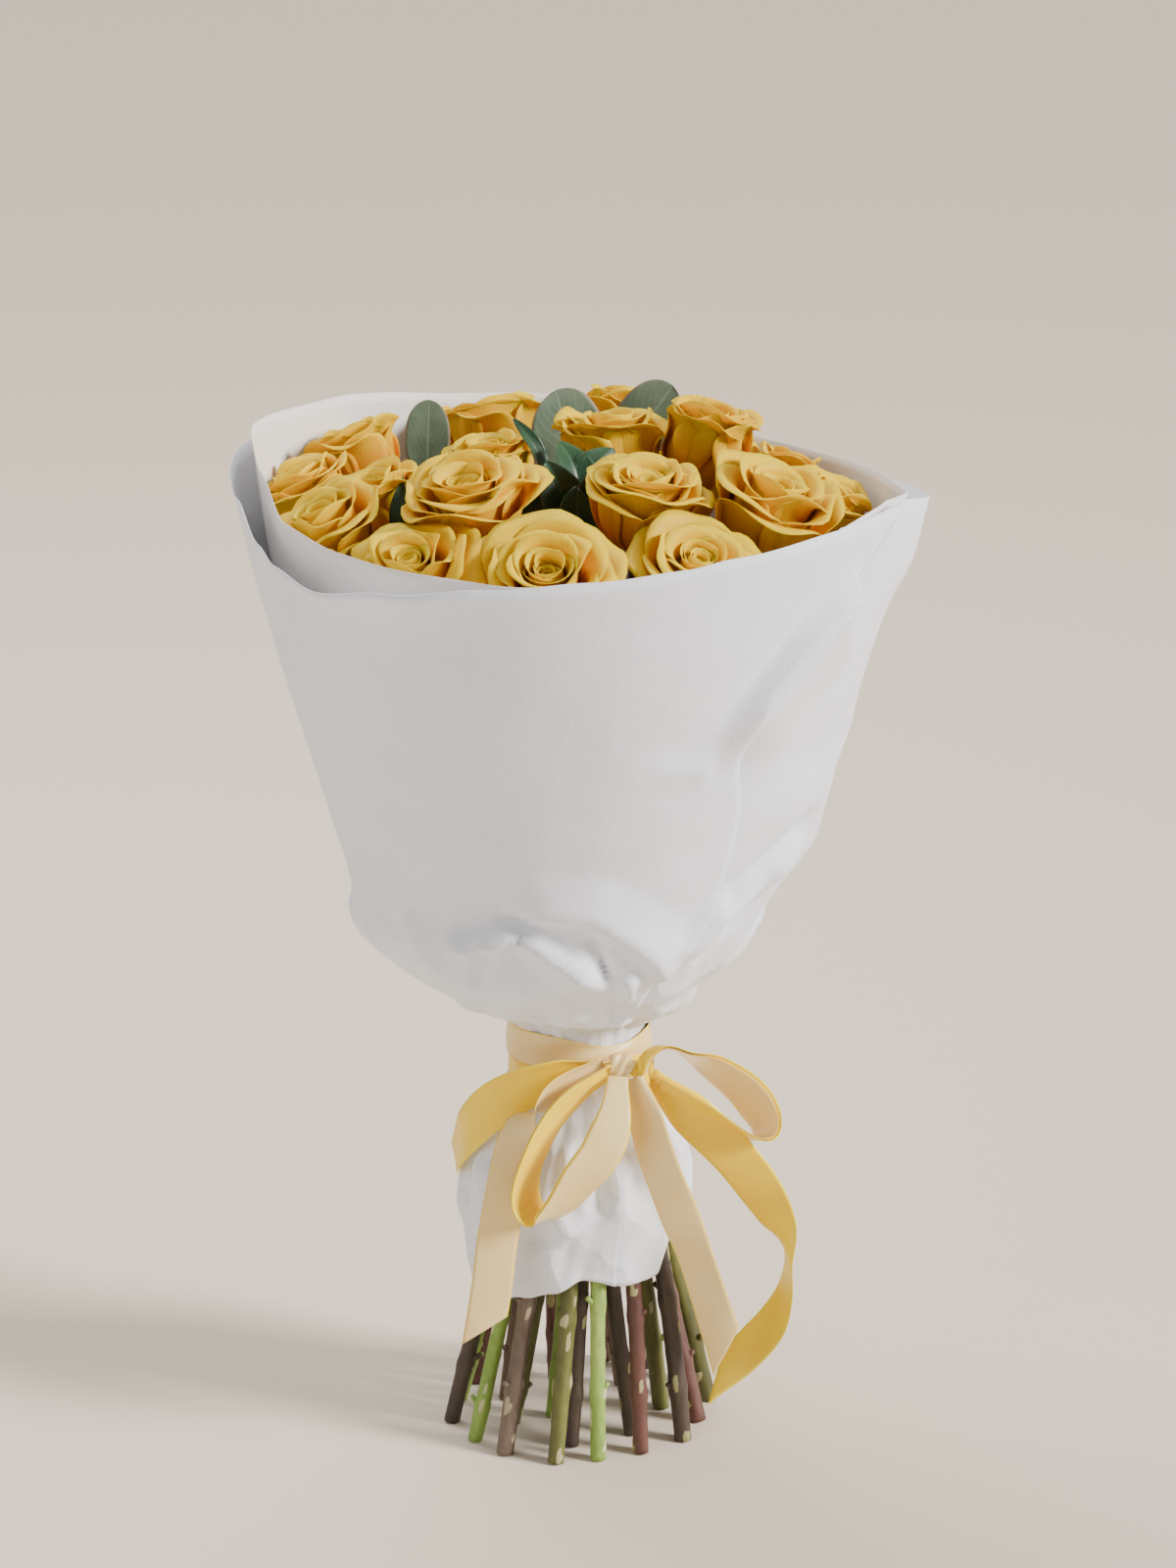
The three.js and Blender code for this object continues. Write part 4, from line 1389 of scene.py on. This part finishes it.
make_bow()
make_band("neck_band_cream", CREAM, "ribbon_band_cream", 39.4, 20, 228, -1.5)
make_band("neck_band_yellow", YELLOW, "ribbon_band_yellow", 38.3, 22, 217, 4.0)
make_knot("knot_cream", CREAM, ["bow_knot"], (22, -50, 226), 7.5, 12, 25)
make_knot("knot_yellow", YELLOW, [], (35, -48, 223), 8, 12, -20)


TWINE_TURNS = 5
TWINE_STEPS = 240
TWINE_RADIUS = 32.6


def make_twine():
    """The turns of twine under the paper, wound tight round the stems."""
    bm, uv_layer = new_shape()
    line = []
    for k in range(TWINE_STEPS + 1):
        angle = FULL_TURN * TWINE_TURNS * k / TWINE_STEPS
        line.append(at_tie(TWINE_RADIUS * math.cos(angle), TWINE_RADIUS * math.sin(angle),
                           214.5 + 13 * k / TWINE_STEPS))
    add_tube(bm, line, lambda turn, step: 0.7, 6, uv_layer)
    finished("twine_turns", bm, TWINE, ["binding_twine"])


make_twine()


# ---- Stage ----
FLOOR_HALF_WIDTH = 40
FLOOR_GAP = 0.0005  # keeps the floor's face just under the stems' ends


def make_floor():
    """A plain floor under the stems' ends."""
    bm = bmesh.new()
    bmesh.ops.create_grid(bm, x_segments=2, y_segments=2, size=FLOOR_HALF_WIDTH)
    mesh = bpy.data.meshes.new("floor")
    bm.to_mesh(mesh)
    bm.free()
    floor = bpy.data.objects.new("floor", mesh)
    bpy.context.collection.objects.link(floor)
    material, _, shader = new_material("floor", 0.85, 0.2)
    shader.inputs["Base Color"].default_value = (0.80, 0.69, 0.57, 1)
    mesh.materials.append(material)
    floor.location.z = -FLOOR_GAP


def hang_lamp(light, place, power, colour, aim):
    """Hangs a light at a place and turns it to shine the way of aim."""
    light.energy = power
    light.color = colour
    lamp = bpy.data.objects.new(light.name, light)
    bpy.context.collection.objects.link(lamp)
    lamp.location = place
    lamp.rotation_euler = aim.to_track_quat("-Z", "Y").to_euler()


def softbox(name, place, size, power, colour):
    """A square lamp that shines on the bouquet's middle."""
    light = bpy.data.lights.new(name, "AREA")
    light.size = size
    hang_lamp(light, place, power, colour, Vector((0, 0, 0.3)) - Vector(place))


def sunlight(place, power, softness, colour):
    """A sun that shines from a place's direction, its shadows softened by some degrees."""
    light = bpy.data.lights.new("key", "SUN")
    light.angle = math.radians(softness)
    hang_lamp(light, place, power, colour, -Vector(place))


def make_light():
    """A soft sun from the right, two softboxes and a dim world."""
    sunlight((2.2, -0.75, 1.2), 6.2, 16, (1.0, 0.97, 0.93))
    softbox("fill", (-2.2, -1.9, 1.2), 1.8, 22, (0.95, 0.97, 1.0))
    softbox("top", (-0.5, 0.8, 2.2), 1.2, 34, (1.0, 0.98, 0.95))
    world = bpy.data.worlds.new("studio")
    world.use_nodes = True
    world.node_tree.nodes["Background"].inputs["Color"].default_value = (0.92, 0.88, 0.84, 1)
    world.node_tree.nodes["Background"].inputs["Strength"].default_value = 0.38
    bpy.context.scene.world = world


make_floor()
make_light()


# ---- Sheets ----
def fan_cut(profile, degrees):
    """A sheet's cut as a fan, opened flat: its width at the rim, its length and its area, in m."""
    turn = math.radians(degrees) * MM
    length, area = 0.0, 0.0
    for (low_radius, low), (high_radius, high) in zip(profile, profile[1:]):
        run = math.hypot(high_radius - low_radius, high - low) * MM
        length += run
        area += run * turn * (low_radius + high_radius) / 2
    return profile[-1][0] * turn, length, area


def declare_wrap(profile, degrees):
    """Works out a paper's flat cut, and does nothing more with it."""
    width, length, area = fan_cut(profile, degrees)


declare_wrap(OUTER_PROFILE, 360 + LAP)
declare_wrap(INNER_PROFILE, 360)


bpy.context.view_layer.update()
